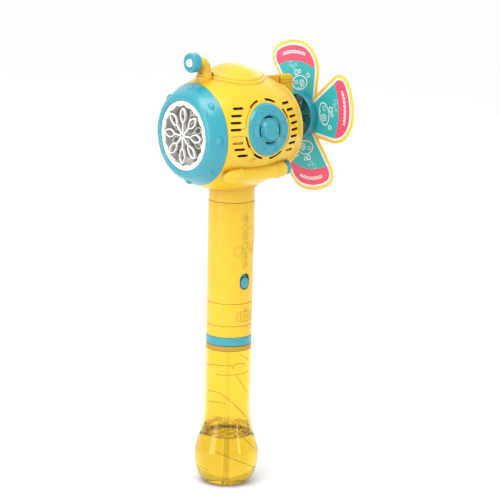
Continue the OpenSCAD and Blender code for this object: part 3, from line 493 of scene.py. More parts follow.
def studio():
    scene = bpy.context.scene
    scene.view_settings.view_transform = "Standard"
    world = bpy.data.worlds.new("studio")
    scene.world = world
    world.use_nodes = True
    sky = world.node_tree.nodes["Background"].inputs
    sky["Color"].default_value = (1, 1, 1, 1)
    sky["Strength"].default_value = 0.86
    middle = (0, 0, 0.3)
    softbox("key_above", (0.25, -0.55, 1.75), middle, (1.1, 0.9), 14)
    softbox("front_left", (-0.15, -1.75, 0.75), middle, (0.7, 1.5), 8)
    softbox("floor_wash", (-3.2, 2.7, 3.0), (-3.2, 2.7, 0), (6, 6), 34)
    softbox("strip_right", (1.9, 0.35, 0.8), middle, (0.3, 1.4), 4)
    softbox("behind", (-1.1, 1.5, 1.0), middle, (1.0, 1.2), 3)
    g = Graph("floor_paper")
    fibre = g.noise(300, 3, 0.6)
    g.set(Base_Color=g.mix(fibre, lin(246, 246, 247), lin(250, 250, 250)), Roughness=0.9,
          Specular_IOR_Level=0.1, Normal=g.bump(fibre, 0.04, 0.0002))
    floor = lathe([(0, -0.3), (4000, -0.3), (11000, -0.3), (11000, -40), (0, -40)], 64)
    floor.name = "floor"
    floor.data.materials.append(g.mat)


camera()
studio()


# ---- cutting shapes laid on a surface

def slot_cutter(surface, a, b, length, height, low=-6.0, high=3.0):
    """Round-ended slot along the first direction of the surface."""
    r = height / 2
    ends = [(length / 2 - r + r * cos(t), r * sin(t)) for t in span(-pi / 2, pi / 2, 6)]
    loop = [(a + x, b + y) for x, y in ends] + [(a - x, b - y) for x, y in ends]
    m = len(loop)
    verts = [surface(x, y, h) for h in (low, high) for x, y in loop]
    faces = [tuple(range(m)), tuple(range(2 * m - 1, m - 1, -1))]
    faces += [(k, (k + 1) % m, (k + 1) % m + m, k + m) for k in range(m)]
    return clean(new_object(verts, faces))


def arc_cutter(surface, r0, r1, start, stop, low=-6.0, high=3.0):
    """Part of a ring about the surface's middle, between two angles in degrees."""
    n = max(3, int((stop - start) / 4))
    corners = ((r0, low), (r1, low), (r1, high), (r0, high))
    verts = [surface(r * cos(rad(t)), r * sin(rad(t)), h) for t in span(start, stop, n) for r, h in corners]
    faces = []
    for k in range(0, 4 * n, 4):
        faces += [(k + i, k + (i + 1) % 4, k + 4 + (i + 1) % 4, k + 4 + i) for i in range(4)]
    faces += [(3, 2, 1, 0), (4 * n, 4 * n + 1, 4 * n + 2, 4 * n + 3)]
    return clean(new_object(verts, faces))


# ---- hull

def hull_solid(grow, y0=-60.0, y1=60.0):
    rows = [(hull_r(y, grow), y) for y in span(y0, y1, 40)]
    return lathe([(0, y0)] + rows + [(0, y1)], 128, nose_axis)


def hull():
    end, wall = 51.5, 2.2
    outer = [(hull_r(y), y) for y in span(SEAM, 48.7, 44)]
    lip = fillet([outer[-1], (40.9, 49.3, 0.5), (41.2, 50.4, 0.9), (40.6, end, 0.8), (38.6, end, 0.4),
                  (38.6, 48.4)])
    inner = [(hull_r(y, -wall), y) for y in span(48.0, SEAM, 30)]
    shell = lathe(outer[:-1] + lip + inner, 160, nose_axis)
    neck = lathe(fillet([(18.4, 277.0), (21.7, 277.0, 0.4), (21.7, 315), (18.4, 315)]), 128)
    flange = lathe([(20.7, 270), (24.6, 270), (24.6, 318), (20.7, 318)], 128)
    boolean(flange, hull_solid(1.3), "INTERSECT")
    boolean(neck, flange, "UNION")
    boolean(neck, hull_solid(-1.2))
    boolean(shell, neck, "UNION")
    rib = [(33, 22.3), (hull_r(22.3, -2.3), 22.3), (hull_r(24.5, -2.3), 24.5), (33, 24.5)]
    rib = lathe(rib, 160, nose_axis)
    boolean(rib, box_mesh((-19, 0, 270), (19, 40, 343)))
    boolean(shell, lathe([(0, 268), (19.8, 268), (19.8, 322), (0, 322)], 120))
    ports, slots, nicks, rings, notches = [], [], [], [], []
    for side in (1, -1):
        at = beside(side)
        ports.append(rod((side * 30, PORT_Y, PORT_Z), (side * 70, PORT_Y, PORT_Z), 20.9, 96))
        for i in range(8):
            b = HEAD + 28.9 - 6.1 * i - PORT_Z
            reach = sqrt(35.9 ** 2 - b * b)
            last = i == 7
            slots.append(slot_cutter(at, reach, b, 10.8 if last else 11.6, 2.4, -1.6 if last else -6))
            depth = {4: -0.45, 5: -1.7}.get(i, -6)
            slots.append(slot_cutter(at, -reach, b, 10.4, 0.8 if i == 4 else 2.4, depth))
        for a0, a1 in ((59, 85), (104, 130), (189, 213), (230, 255), (274, 308), (377, 399)):
            rings.append(arc_cutter(at, 25.9, 28.0, a0, a1))
        for a0, a1 in ((131, 173), (310, 376), (214, 229)):
            notches.append(arc_cutter(at, 26.4, 27.1, a0, a1, -0.55))
        for b in (3.4, -3.6):
            nicks.append(slot_cutter(at, -29.4, b, 4.4, 0.7, -0.5))
    for group in (ports, slots, nicks, rings, notches):
        boolean(shell, group)
    for name, x0, x1 in (("hull_right", 0.05, 90), ("hull_left", -90, -0.05)):
        halves = [linked(shell.data.copy()), linked(rib.data.copy())]
        for half in halves:
            boolean(half, box_mesh((x0, -90, 230), (x1, 90, 430)), "INTERSECT")
        wear(halves, name + "_shell", "yellow", name, sharp=28)
    bpy.data.objects.remove(shell)
    bpy.data.objects.remove(rib)


def porthole(side, name):
    at = beside(side)
    prof = fillet([(0, 2.9), (5.5, 2.75), (8.7, 2.3, 0.8), (9.9, 0.4, 0.2), (10.4, 0.0, 0.3),
                   (13.3, 0.0, 0.3), (14.4, 1.7, 0.4), (18.4, 1.2, 2), (22.6, 1.9, 0.6), (24.2, 0.7, 0.4),
                   (24.3, 0.0), (20.8, 0.0), (20.8, -2.2), (0, -2.2)], 3)
    dense = []
    for p, q in zip(prof, prof[1:]):
        n = max(1, int(abs(p[0] - q[0]) / 2.2))
        dense += list(zip(span(p[0], q[0], n), span(p[1], q[1], n)))[:-1]
    cover = lathe(dense + [prof[-1]], 96, at)
    boolean(cover, [arc_cutter(at, 11.2, 12.7, a - 26, a + 26, -6, 4) for a in (90, 180, 270, 360)])
    rivets, rivets_r = [], 18.4
    for k in range(8):
        a, b = rivets_r * cos(TAU * (k + 0.5) / 8), rivets_r * sin(TAU * (k + 0.5) / 8)
        rivets.append(lathe([(0, 2.3), (0.7, 2.2), (1.2, 1.9), (1.5, 1.1), (0, 0.9)], 16,
                            lambda x, y, h: at(a + x, b + y, h)))
    wear([cover] + rivets, name + "_cover", "teal", name, sharp=35)


def nose_ring():
    outer = [(hull_r(y), y) for y in span(SEAM, -57.5, 14)]
    front = fillet([outer[-1], (38.8, -59.7, 1.5), (36.6, -60.8, 1.0), (34.3, -61.1, 0.7), (32.6, -60.2, 0.4),
                    (32.5, -57.6), (30.6, -57.6), (30.6, -55.4), (38.5, -55.4)], 5)
    inner = [(hull_r(y, -2.2), y) for y in span(-54.5, SEAM, 8)]
    edge = [(outer[0][0] - 0.35, SEAM), (outer[0][0], SEAM - 0.35)]
    ring = lathe(edge + outer[1:-1] + front + inner, 160, nose_axis)
    spigot = [(43.2, -47.5), (45.0, -47.5), (45.0, -42.6), (44.6, -42.3), (43.2, -42.3)]
    boolean(ring, lathe(spigot, 128, nose_axis), "UNION")
    rivet = fillet([(0, 1.9), (1.6, 1.8), (2.9, 1.4), (3.7, 0.8), (4.15, 0.15, 0.2), (4.3, -0.4),
                    (0, -0.6)], 2)
    heads = []
    for k in range(8):
        middle = TAU * k / 8
        heads.append(lathe(rivet, 32, lambda a, b, h: on_hull(-53.0 - a * 0.59, middle + b * 0.94 / 44.0, h)))
    wear([ring] + heads, "nose_ring_shell", "teal", "nose_ring", sharp=38)


def tower():
    """Dome on two low steps that follow the hull's top."""
    ball, blend = 37.5, 0.5

    def at(x, y, h):
        z = HEAD + root(hull_r(y - 3, min(h, 3.0)) ** 2 - x * x)
        if h > 3.5:
            cap = 406.3 - ball + sqrt(ball * ball - x * x - y * y)
            z = max(z, cap) + blend * exp(-abs(cap - z) / blend) * 0.5
        return (x, y - 3, z)
    dome = [(r, 4.0) for r in (0, 3, 6, 9, 12, 14.5, 17, 19, 21, 22.5, 24, 25, 25.8, 26.4, 26.9, 27.3)]
    steps = fillet([(27.6, 3.0), (28.6, 2.95, 0.5), (28.75, 1.6, 0.3), (31.0, 1.45, 0.6), (31.15, -0.3)])
    ob = lathe(dome + steps + [(r, -0.5) for r in (31.15, 27, 20, 12, 6, 0)], 128, at)
    boolean(ob, rod((0, PIPE_Y, 360), (0, PIPE_Y, 430), 8.4, 48))
    wear(ob, "tower_dome_cap", "yellow", "tower_dome", sharp=35)


def periscope():
    """Pipe on a stepped foot, bent towards the nose."""
    bend, r = 7.3, 5.8
    top = PIPE_Z - bend
    path = [(0, PIPE_Y, z) for z in span(386, top, 6)]
    path += [(0, PIPE_Y - bend + bend * cos(t), top + bend * sin(t)) for t in span(0, pi / 2, 12)[1:]]
    path += [(0, PIPE_Y - bend - y, PIPE_Z) for y in span(0, 5.2, 3)[1:]]
    sideways = lambda p: (1, 0, 0)
    outer = tube(path, r, 48, sideways)
    ends = [(0, PIPE_Y, 380)] + path[1:-1] + [(0, PIPE_Y - bend - 9, PIPE_Z)]
    boolean(outer, tube(ends, r - 1.6, 32, sideways))

    def foot(x, y, h):
        return (x, PIPE_Y + y, h if h > 390 else HEAD + root(hull_r(PIPE_Y + y, -0.4) ** 2 - x * x))
    prof = fillet([(5.6, 401.5), (6.0, 400.2, 0.6), (6.9, 399.0, 0.5), (7.1, 397.3, 0.4), (8.1, 396.6, 0.5),
                   (8.25, 0), (5.6, 0)], 3)
    wear([outer, lathe(prof, 64, foot)], "periscope_pipe_bent", "yellow", "periscope_pipe", sharp=35)
    prof = fillet([(5.8, -45.4), (7.9, -45.4, 0.8), (9.25, -46.6, 1.2), (8.85, -49.6, 3.0), (9.2, -52.6, 1.0),
                   (8.6, -54.3, 0.9), (5.7, -54.4, 0.5), (4.9, -53.7, 0.3), (3.75, -53.7), (3.75, -50),
                   (5.8, -50)])
    cap = lifted(lathe(prof, 64, nose_axis), PIPE_Z - HEAD)
    wear(cap, "periscope_cap_ring", "teal", "periscope_cap")
    prof = [(0, -49.2), (4.1, -49.2), (4.1, -50), (3.65, -50.1)]
    prof += [(3.65 * cos(t), -53.6 - 3.35 * sin(t)) for t in span(0, pi / 2, 8)[:-1]] + [(0, -56.95)]
    lamp = lifted(lathe(prof, 48, nose_axis), PIPE_Z - HEAD)
    wear(lamp, "periscope_lamp_lens", "white", "periscope_lamp", M_LAMP)


def tail_fin():
    top = HEAD + 47.6
    web = [(y, HEAD + hull_r(y, -0.8)) for y in (15, 22, 29, 36, 43, 48.5)]
    web += [(51.6, 379.2), (51.6, 366.5), (57, 366.5), (57, top - 0.7), (26.5, top - 0.7)]
    block = fillet([(53.6, 366.4, 0.6), (53.6, top - 2, 1.2), (55.4, top, 1.2), (67.4, top, 1.4),
                    (69.2, top - 1.8, 1.4), (69.2, 371.3, 1.5), (67.4, 366.4, 1.5)])
    body = slab_yz(block, -4.2, 4.2, 0.7)
    boolean(body, [box_mesh((s * 4.6 - 0.9, 50, z), (s * 4.6 + 0.9, 72, z + 0.8))
                   for s in (1, -1) for z in (top - 5.2, top - 8)])
    wear([slab_yz(web, -2.4, 2.4, 0.5), body], "tail_fin_body", "yellow", "tail_fin", sharp=30)


def pods():
    """Side pods with a pointed nose, two bands and a round boss."""
    r, tail = 7.6, 25.0
    nose = [(0, -45.5)] + [(0.45 + (r - 0.45) * sin(t) ** 1.25, -45.5 + 15 * (1 - cos(t)))
                           for t in span(0, pi / 2, 14)[1:]]
    bands = fillet([(r, -30.4), (r, -29.8, 0.3), (r + 0.75, -29.3, 0.5), (r + 0.75, -27.7, 0.5),
                    (r, -27.2, 0.3), (r, tail - 12.6, 0.3), (r + 0.75, tail - 12.0, 0.5),
                    (r + 0.75, tail - 9.4, 0.5), (r, tail - 8.9, 0.3), (r, tail - 6)], 3)
    rear = [(2 + (r - 2) * cos(t), tail - 5.6 + 5.6 * sin(t)) for t in span(0, pi / 2, 8)] + [(0, tail)]
    yaw = Matrix.Rotation(rad(-3.6), 3, "Z")
    pitch = Matrix.Rotation(rad(1.6), 3, "X")
    out = Vector((sin(rad(74)), 0, cos(rad(74))))
    boss_at = Vector((0, -19, 311.4))
    discs = []
    for side, name in ((1, "pod_right"), (-1, "pod_left")):
        def at(x, y, h):
            p = yaw @ pitch @ Vector((x, h, y))
            return (side * (45.2 + p.x), p.y, 310.6 + p.z)

        def at_rear(x, y, h):
            p = yaw @ Vector((x, h, y))
            return (side * (43.4 + p.x), 25.3 + p.y, 311.4 + p.z)

        def off(reach):
            p = boss_at + out * reach
            return (side * p.x, p.y, p.z)
        boss = rod(off(46), off(54.4), 3.6, 32, 0.6)
        boolean(boss, rod(off(53.9), off(55.4), 2.3, 24))
        pod = joined([lathe(nose + bands + rear, 64, at), boss])
        boolean(pod, hull_solid(-0.8, -52, 50))
        boolean(pod, box_mesh((-29, -70, 280), (29, 60, 340)))
        wear(pod, name + "_body", "yellow", name)
        disc = fillet([(0, 0), (6.6, 0, 0.3), (7.25, 4.4, 0.5), (5.6, 4.4, 0.4), (5.0, 3.2, 0.3), (0, 3.0)])
        discs.append(boolean(lathe(disc, 48, at_rear), hull_solid(-0.5, -52, 50)))
    wear(discs, "pod_nozzle_pair", "teal", "pod_nozzles")


def rear_cover():
    """Plate in the tail opening, with the raised snout that carries the pinwheel's axle."""
    plate = [(0, 46.6), (38.2, 46.6, 0.2), (38.2, 47.6), (37.4, 48.5, 0.6), (30, 49.3, 2), (22, 50.0),
             (0, 50.0)]
    cover = lathe(fillet(plate), 96, nose_axis)
    snout = fillet([(0, 47.2), (18, 47.2), (18, 50.0), (15, 51.2, 4), (9.4, 56, 5), (6.6, 64, 6),
                    (5.4, 74, 3), (4.6, 79.5, 0.4), (0, 79.5)], 5)
    hollow = [(0, 46), (14, 46), (5, 62), (4, 73), (1.6, 73.1), (1.6, 80), (0, 80)]
    boolean(cover, lifted(lathe(snout, 100, nose_axis)), "UNION")
    boolean(cover, lifted(lathe(hollow, 80, nose_axis)))
    wear(cover, "rear_cover_shell", "yellow", "rear_cover")


hull()
porthole(1, "porthole_right")
porthole(-1, "porthole_left")
nose_ring()
tower()
periscope()
tail_fin()
pods()
rear_cover()


# ---- bubble outlet

def bar(x0, x1, width, a):
    """Outline of a flat bar that leaves the axis at the angle a."""
    return turned_by([(x0, -width / 2), (x1, -width / 2), (x1, width / 2), (x0, width / 2)], a)


def outlet():
    middle_r, lobe_r = 24.6, 3.9
    lobes = []
    for k in range(288):
        t = TAU * k / 288
        d = (t + TAU / 32) % (TAU / 16) - TAU / 32
        r = 27.2
        if abs(middle_r * sin(d)) < lobe_r:
            r = max(r, middle_r * cos(d) + sqrt(lobe_r ** 2 - (middle_r * sin(d)) ** 2))
        lobes.append((r * cos(t), r * sin(t)))
    rim = [(32.4 * cos(TAU * k / 128), 32.4 * sin(TAU * k / 128)) for k in range(128)]
    parts = [plate_xz([rim, lobes], -60.0, -57.6, 0.4),
             lathe([(28.6, -57.8), (28.6, -49.5), (30.4, -49.5), (30.4, -57.8)], 128, nose_axis),
             lathe([(1.56, -52), (4, -52), (4, -49.5), (1.56, -49.5)], 48, nose_axis)]
    parts += [plate_xz([bar(3.6, 28.8, 2.2, rad(a))], -51.5, -49.5, 0.3) for a in (90, 210, 330)]
    wear(parts, "outlet_ring_body", "white", "outlet_ring", sharp=38)


def petal(length, width, mid, n=14):
    """Outline of a pointed oval along the first axis, its middle at mid."""
    r = (length * length + width * width) / (4 * width)
    half = asin(length / 2 / r)
    top = [(mid + r * sin(t), r * cos(t) - (r - width / 2)) for t in span(half, -half, n)]
    return top + [(2 * mid - x, -y) for x, y in top[1:-1]]


def bubble_wheel():
    parts = []
    for reach, length, width, rim, phase, y0, y1, arm in (
            (26.6, 15.4, 8.2, 1.15, 0.0, -61.4, -58.6, 1.5), (23.0, 12.0, 7.0, 1.0, 0.5, -55.8, -53.4, 1.3)):
        mid = reach - length / 2
        outline = petal(length, width, mid)
        outline = fillet([p + (0.8,) if i in (0, 14) else p for i, p in enumerate(outline)], 2)
        hole = petal(length - 2.6 * rim, width - 2 * rim, mid)
        for k in range(8):
            a = TAU * (k + phase) / 8
            parts.append(plate_xz([turned_by(outline, a), turned_by(hole, a)], y0, y1, 0.42))
            parts.append(plate_xz([bar(2.6, reach - length + 0.9, arm, a)], y0 + 0.3, y1, 0.35))
    hub = fillet([(1.5, -61.4), (3.4, -61.4, 0.6), (3.4, -53.4, 0.4), (1.5, -53.4)])
    parts.append(lathe(hub, 48, nose_axis))
    wear(parts, "bubble_wheel_loops", "white", "bubble_wheel", body="main_rotor", sharp=38)


def air_duct():
    body = lathe(fillet([(29.4, -47.5), (31, -47.5, 0.3), (31, -12.0, 0.5), (1.56, -12.0), (1.56, -14.0),
                         (29.4, -14.0, 0.8)]), 96, nose_axis)
    boolean(body, rod((0, -20, HEAD + 15), (0, 0, HEAD + 15), 12, 64))
    boss = lathe([(1.56, -16.5), (3.6, -16.5), (3.6, -13), (1.56, -13)], 32, nose_axis)
    wear([body, boss], "air_duct_body", "white", "air_duct")


outlet()
bubble_wheel()
air_duct()


# ---- pinwheel

BLADE_TURN = rad(94.6)
LEAD = (rad(34.8), 6.6, 13.3, 1)  # lean, distance from the hub, corner radius, side
TRAIL = (rad(9.6), 17.4, 27.2, -1)
TIP_U, TIP_V, TIP_R = 12.8, 8.3, 59.0
BAND_U, BAND_V, BAND_R = -9.7, 8.3, 61.4  # inner edge of the pink band


def blade_edge(side, d, n=14):
    """Half of a blade's outline from the root to the middle of the tip, moved in by d."""
    lean, v0, rc, way = side
    slope = tan(lean)
    off = v0 - rc / cos(lean) - way * TIP_V
    qa, qb = 1 + slope * slope, 2 * (off * slope - TIP_U)
    cu = (-qb + sqrt(qb * qb - 4 * qa * (TIP_U ** 2 + off ** 2 - (TIP_R - rc) ** 2))) / (2 * qa)
    cv = off + cu * slope
    a1 = atan2(cv, cu - TIP_U)
    v1 = v0 - d / cos(lean)
    pts = [(u, way * (v1 + u * slope)) for u in (0.1 + d / 50, 7, 11, 15, 19)]
    pts += [(cu + (rc - d) * cos(a), way * (cv + (rc - d) * sin(a)) + TIP_V)
            for a in span(pi / 2 + lean, a1, n)]
    return pts + [(TIP_U + (TIP_R - d) * cos(a), way * (TIP_R - d) * sin(a) + TIP_V)
                  for a in span(a1, 0, n)[1:]]


def blade_loop(d):
    return blade_edge(LEAD, d) + blade_edge(TRAIL, d)[-2::-1]


def within(loop, x, y):
    odd = False
    for (a, b), (c, d) in zip(loop, loop[1:] + loop[:1]):
        if (b > y) != (d > y) and x < a + (y - b) * (c - a) / (d - b):
            odd = not odd
    return odd


def blade_print():
    """Printed sheet: bubbles on teal, and a pink band with a row of rings at the tip."""
    g = Graph("blade_print")
    calc = g.calc
    uv = g.node("ShaderNodeSeparateXYZ", i0=g.coords.outputs["UV"])
    u, v = [calc("MULTIPLY", uv.outputs[k], 100.0) for k in (0, 1)]

    def length(p, q):
        return calc("SQRT", calc("ADD", calc("MULTIPLY", p, p), calc("MULTIPLY", q, q)))

    def away(a, b, su=1.0, sv=1.0, turn=0.0):
        """Distance from (a, b), with each direction of a turned oval stretched by su and sv."""
        du, dv = calc("SUBTRACT", u, a), calc("SUBTRACT", v, b)
        c, s = cos(turn), sin(turn)
        return length(calc("ADD", calc("MULTIPLY", du, c * su), calc("MULTIPLY", dv, s * su)),
                      calc("ADD", calc("MULTIPLY", dv, c * sv), calc("MULTIPLY", du, -s * sv)))

    def line(dist, r, w, strength=1.0):
        off = calc("ABSOLUTE", calc("SUBTRACT", dist, r))
        return g.spread(off, strength, 0, (w / 2 - 0.12, w / 2 + 0.12))

    marks = [line(away(31, 3, 9 / 6.6, 9 / 10.6, 0.15), 9, 0.95), line(away(31.2, 8.2, 1.3, 1.0), 2.2, 0.7)]
    for a, b, r, w, strength in (
            (30.5, -0.5, 3.1, 0.8, 1), (30.5, -0.5, 1.4, 0.7, 1), (40.5, 7.5, 2.3, 0.9, 1),
            (42, 2.6, 1.6, 0.8, 1), (38.6, -9.6, 1.9, 0.8, 1), (45.5, 11.5, 1.6, 0.5, 0.6),
            (48.5, 15.5, 2.3, 0.5, 0.6), (48, 7.5, 1.1, 0.5, 0.6)):
        marks.append(line(away(a, b), r, w, strength))
    wave = calc("ADD", calc("MULTIPLY", calc("SINE", calc("MULTIPLY", v, 1.5)), 0.7), 25.4)
    near = g.spread(calc("ABSOLUTE", calc("SUBTRACT", v, 2.5)), 1, 0, (4.2, 4.5))
    marks.append(calc("MULTIPLY", line(calc("SUBTRACT", u, wave), 0, 0.75), near))
    row_r, pitch = TIP_R - 11.4, 3.7
    along = calc("MULTIPLY", calc("ARCTAN2", calc("SUBTRACT", v, TIP_V), calc("SUBTRACT", u, TIP_U)), row_r)
    whole = calc("MULTIPLY", calc("ROUND", calc("DIVIDE", along, pitch)), pitch)
    dot = length(calc("SUBTRACT", along, whole), calc("SUBTRACT", away(TIP_U, TIP_V), row_r))
    row_end = g.spread(calc("ABSOLUTE", calc("SUBTRACT", along, pitch / 2)), 1, 0, (16.5, 16.7))
    marks.append(calc("MULTIPLY", line(dot, 1.25, 0.85), row_end))
    ink = marks[0]
    for m in marks[1:]:
        ink = calc("MAXIMUM", ink, m)
    speck = g.noise(700, 2, 0.5)
    teal = g.mix(g.spread(speck), lin(44, 180, 184), lin(54, 190, 194))
    band = g.spread(away(BAND_U, BAND_V), 0, 1, (BAND_R - 0.1, BAND_R + 0.1))
    g.set(Base_Color=g.mix(ink, g.mix(band, teal, lin(238, 84, 118)), lin(240, 250, 250)),
          Roughness=g.spread(speck, 0.34, 0.42), Normal=g.bump(g.noise(60, 1, 0.4), 0.04, 0.0005))
    return g.mat


def blades():
    low, high = 86.2, 87.4
    loops = [blade_loop(d) for d in (0, 3, 5)]   # rim, white line, print
    n = len(loops[0])
    looks = [M_RIM, M_SHEET, blade_print()]
    v0, slope = LEAD[1] + 0.15, tan(LEAD[0])
    cover = [(v0 - 60 * slope - 80, 60), (v0 - 60 * slope, 60), (v0 + 60 * slope, -60), (v0 - 80, -60)]
    for index in range(1, 5):
        turn = BLADE_TURN - pi / 2 * (index - 1)
        verts = [(x, y, HEAD + z) for y in (low, high) for loop in loops for x, z in turned_by(loop, turn)]
        faces = []
        for base, way in ((0, 1), (3 * n, -1)):
            for a in (base, base + n):
                faces += [(a + k, a + (k + 1) % n, a + n + (k + 1) % n, a + n + k)[::way] for k in range(n)]
            faces.append(tuple(base + 2 * n + k for k in range(n))[::way])
        faces += [(k, 3 * n + k, 3 * n + (k + 1) % n, (k + 1) % n) for k in range(n)]
        ob = clean(new_object(verts, faces))
        boolean(ob, plate_xz([turned_by(cover, turn)], low - 1, high + 1, 0))
        boolean(ob, rod((0, low - 1, HEAD), (0, high + 1, HEAD), 7, 48))
        me = ob.data
        flat = turned_by([(v.co.x / MM, v.co.z / MM - HEAD) for v in me.vertices], -turn)
        while me.uv_layers:
            me.uv_layers.remove(me.uv_layers[0])
        layer = me.uv_layers.new(name="UVMap")
        for p in me.polygons:
            mid = [sum(flat[i][a] for i in p.vertices) / len(p.vertices) for a in (0, 1)]
            if abs(p.normal.y) < 0.5 or not within(loops[1], *mid):
                p.material_index = 0
            else:
                p.material_index = 2 if within(loops[2], *mid) else 1
            for i in p.loop_indices:
                layer.data[i].uv = [w / 100 for w in flat[me.loops[i].vertex_index]]
        wear(lifted(ob), "blade_%d_sheet" % index, "print_teal", "blade_%d" % index, looks, "pinwheel")


def pinwheel_hub():
    prof = fillet([(1.56, 80.4), (4.6, 80.4, 0.6), (4.6, 84.4, 0.8), (19.2, 84.4, 1.6), (20.2, 82.6, 1.0),
                   (20.4, 77.6, 0.6), (21.8, 77.6, 0.6), (22.1, 80.4, 2), (21.8, 85.2, 1), (20.8, 86.2, 0.6),
                   (1.56, 86.2)])
    cup = lathe(prof, 128, nose_axis)
    slot = [(x + 13.2, y) for x, y in stadium(1.5, 9.4)]
    cut_each(cup, [plate_xz([turned_by(slot, TAU * (k + 0.5) / 6 + rad(15))], 82, 88, 0) for k in range(6)])
    bolts = [(12 * cos(a), HEAD + 12 * sin(a)) for a in [BLADE_TURN + pi / 2 * k for k in range(4)]]
    cut_each(cup, [rod((x, 80, z), (x, 90, z), 1.4, 20) for x, z in bolts])
    ribs = [plate_xz([bar(4.2, 20.2, 1.2, TAU * k / 6 + rad(15))], 81.5, 84.6, 0.25) for k in range(6)]
    axle = [(0, 69), (1.8, 69), (2.6, 70.4), (2.6, 72.4), (1.5, 72.5), (1.5, 93), (0, 93)]
    hub = lifted(joined([cup, lathe(axle, 48, nose_axis)] + ribs))
    wear(hub, "pinwheel_hub_cup", "teal", "pinwheel_hub", body="pinwheel")
    plate = lathe(fillet([(1.56, 87.4), (17, 87.4, 0.2), (17, 89.4, 0.8), (9, 89.4), (8.6, 89.0), (6, 89.0),
                          (5.6, 89.4), (1.56, 89.4)]), 96, nose_axis)
    wear(lifted(plate), "hub_back_plate_disc", "teal", "hub_back_plate", body="pinwheel")
    screw = fillet([(0, 84.6), (1.2, 84.6), (1.25, 89.3), (2.4, 89.35, 0.15), (2.3, 90.3, 0.5), (0, 90.8)])
    heads = []
    for x, z in bolts:
        head = lathe(screw, 32, lambda p, q, h: (x + p, h, z + q))
        cut_each(head, [box_mesh((x - w, 90.1, z - h), (x + w, 92, z + h))
                        for w, h in ((1.5, 0.3), (0.3, 1.5))])
        heads.append(head)
    nut = lathe(fillet([(1.5, 89.4), (4.2, 89.4, 0.3), (4.2, 91.5, 0.4), (1.5, 91.5)]), 6, nose_axis)
    dome = lathe([(1.55, 91.3), (3.5, 91.3), (3.45, 92.2), (3.0, 93.6), (2.2, 94.6), (1.2, 95.15),
                  (0.01, 95.25), (0.01, 93.2), (1.5, 93.1)], 48, nose_axis)
    wear(lifted(joined(heads + [nut, dome])), "hub_fasteners_set", "steel", "hub_fasteners", body="pinwheel")


blades()
pinwheel_hub()


# ---- handle

def relief_ring(degrees, z, r, thick, flat, n=36, surface=HANDLE_R):
    """Raised ring lying on the handle."""
    path = [on_handle(rad(degrees) + r * cos(TAU * k / n) / surface, z + r * sin(TAU * k / n), surface)
            for k in range(n)]
    return tube(path, thick * 1.3, closed=True, flat=flat)


def relief_line(points, surface, thick, flat=0.6):
    return tube([on_handle(rad(a), z, surface) for a, z in points], thick * 1.3, flat=flat)


def socket_parts():
    prof = fillet([(18.6, 138.5), (20, 138.5), (20, 146.8), (21.7, 146.8, 0.4), (21.7, 157.6, 0.4),
                   (19.2, 157.6), (19.2, 160), (2.7, 160), (2.7, 156), (18.6, 156)])
    wear(lathe(prof, 128), "bottle_socket_body", "yellow", "bottle_socket")
    band = fillet([(20.05, 138.5), (21.8, 138.5, 0.35), (21.8, 146.6, 0.35), (20.05, 146.6)])
    wear(lathe(band, 128), "accent_ring_band", "teal", "accent_ring")
    r = 21.75
    prof = fillet([(19.25, 157.8), (r, 157.8, 0.45), (r, 179.3, 0.45), (19.7, 179.3), (19.7, 183.3),
                   (17.4, 183.3), (17.4, 160), (19.25, 160)])
    collar = lathe(prof, 160)
    capsule = []
    for k in range(60):
        c, s = cos(TAU * k / 60), sin(TAU * k / 60)
        x = copysign(abs(c) ** 0.55, c) * (11.6 if c > 0 else 11.0)
        capsule.append(on_handle(rad(98) + x / r, 167.2 + copysign(abs(s) ** 0.75, s) * 4.8, r + 0.15))
    dent = [(81, 162.2), (80, 164.5), (80, 168.5), (81, 171)]
    cut_each(collar, [tube(capsule, 0.5, closed=True), relief_line(dent, r + 0.15, 0.45, 1)])
    marks = [relief_ring(a, z, 1.8, 0.5, 0.8, 20, r) for a, z in ((90, 165.8), (99, 166.8), (108, 166.4))]
    marks.append(relief_line([(86, 170), (92, 171.0), (104, 171.2), (112, 170.4)], r, 0.4))
    marks.append(relief_ring(95, 173.6, 1.2, 0.45, 0.8, 16, r))
    wear([collar] + marks, "lower_collar_body", "yellow", "lower_collar", sharp=38)


def door_wedge(gap):
    """Wedge at the handle's back that parts the battery door from it, gap larger all round."""
    a, reach = rad(48), 40.0
    off = gap / sin(a)
    upper = [(-8, 8 * tan(a) + off), (-reach * cos(a), reach * sin(a) + off)]
    return prism([upper + [(x, -y) for x, y in upper[::-1]]], 208 - gap, 273 + gap)


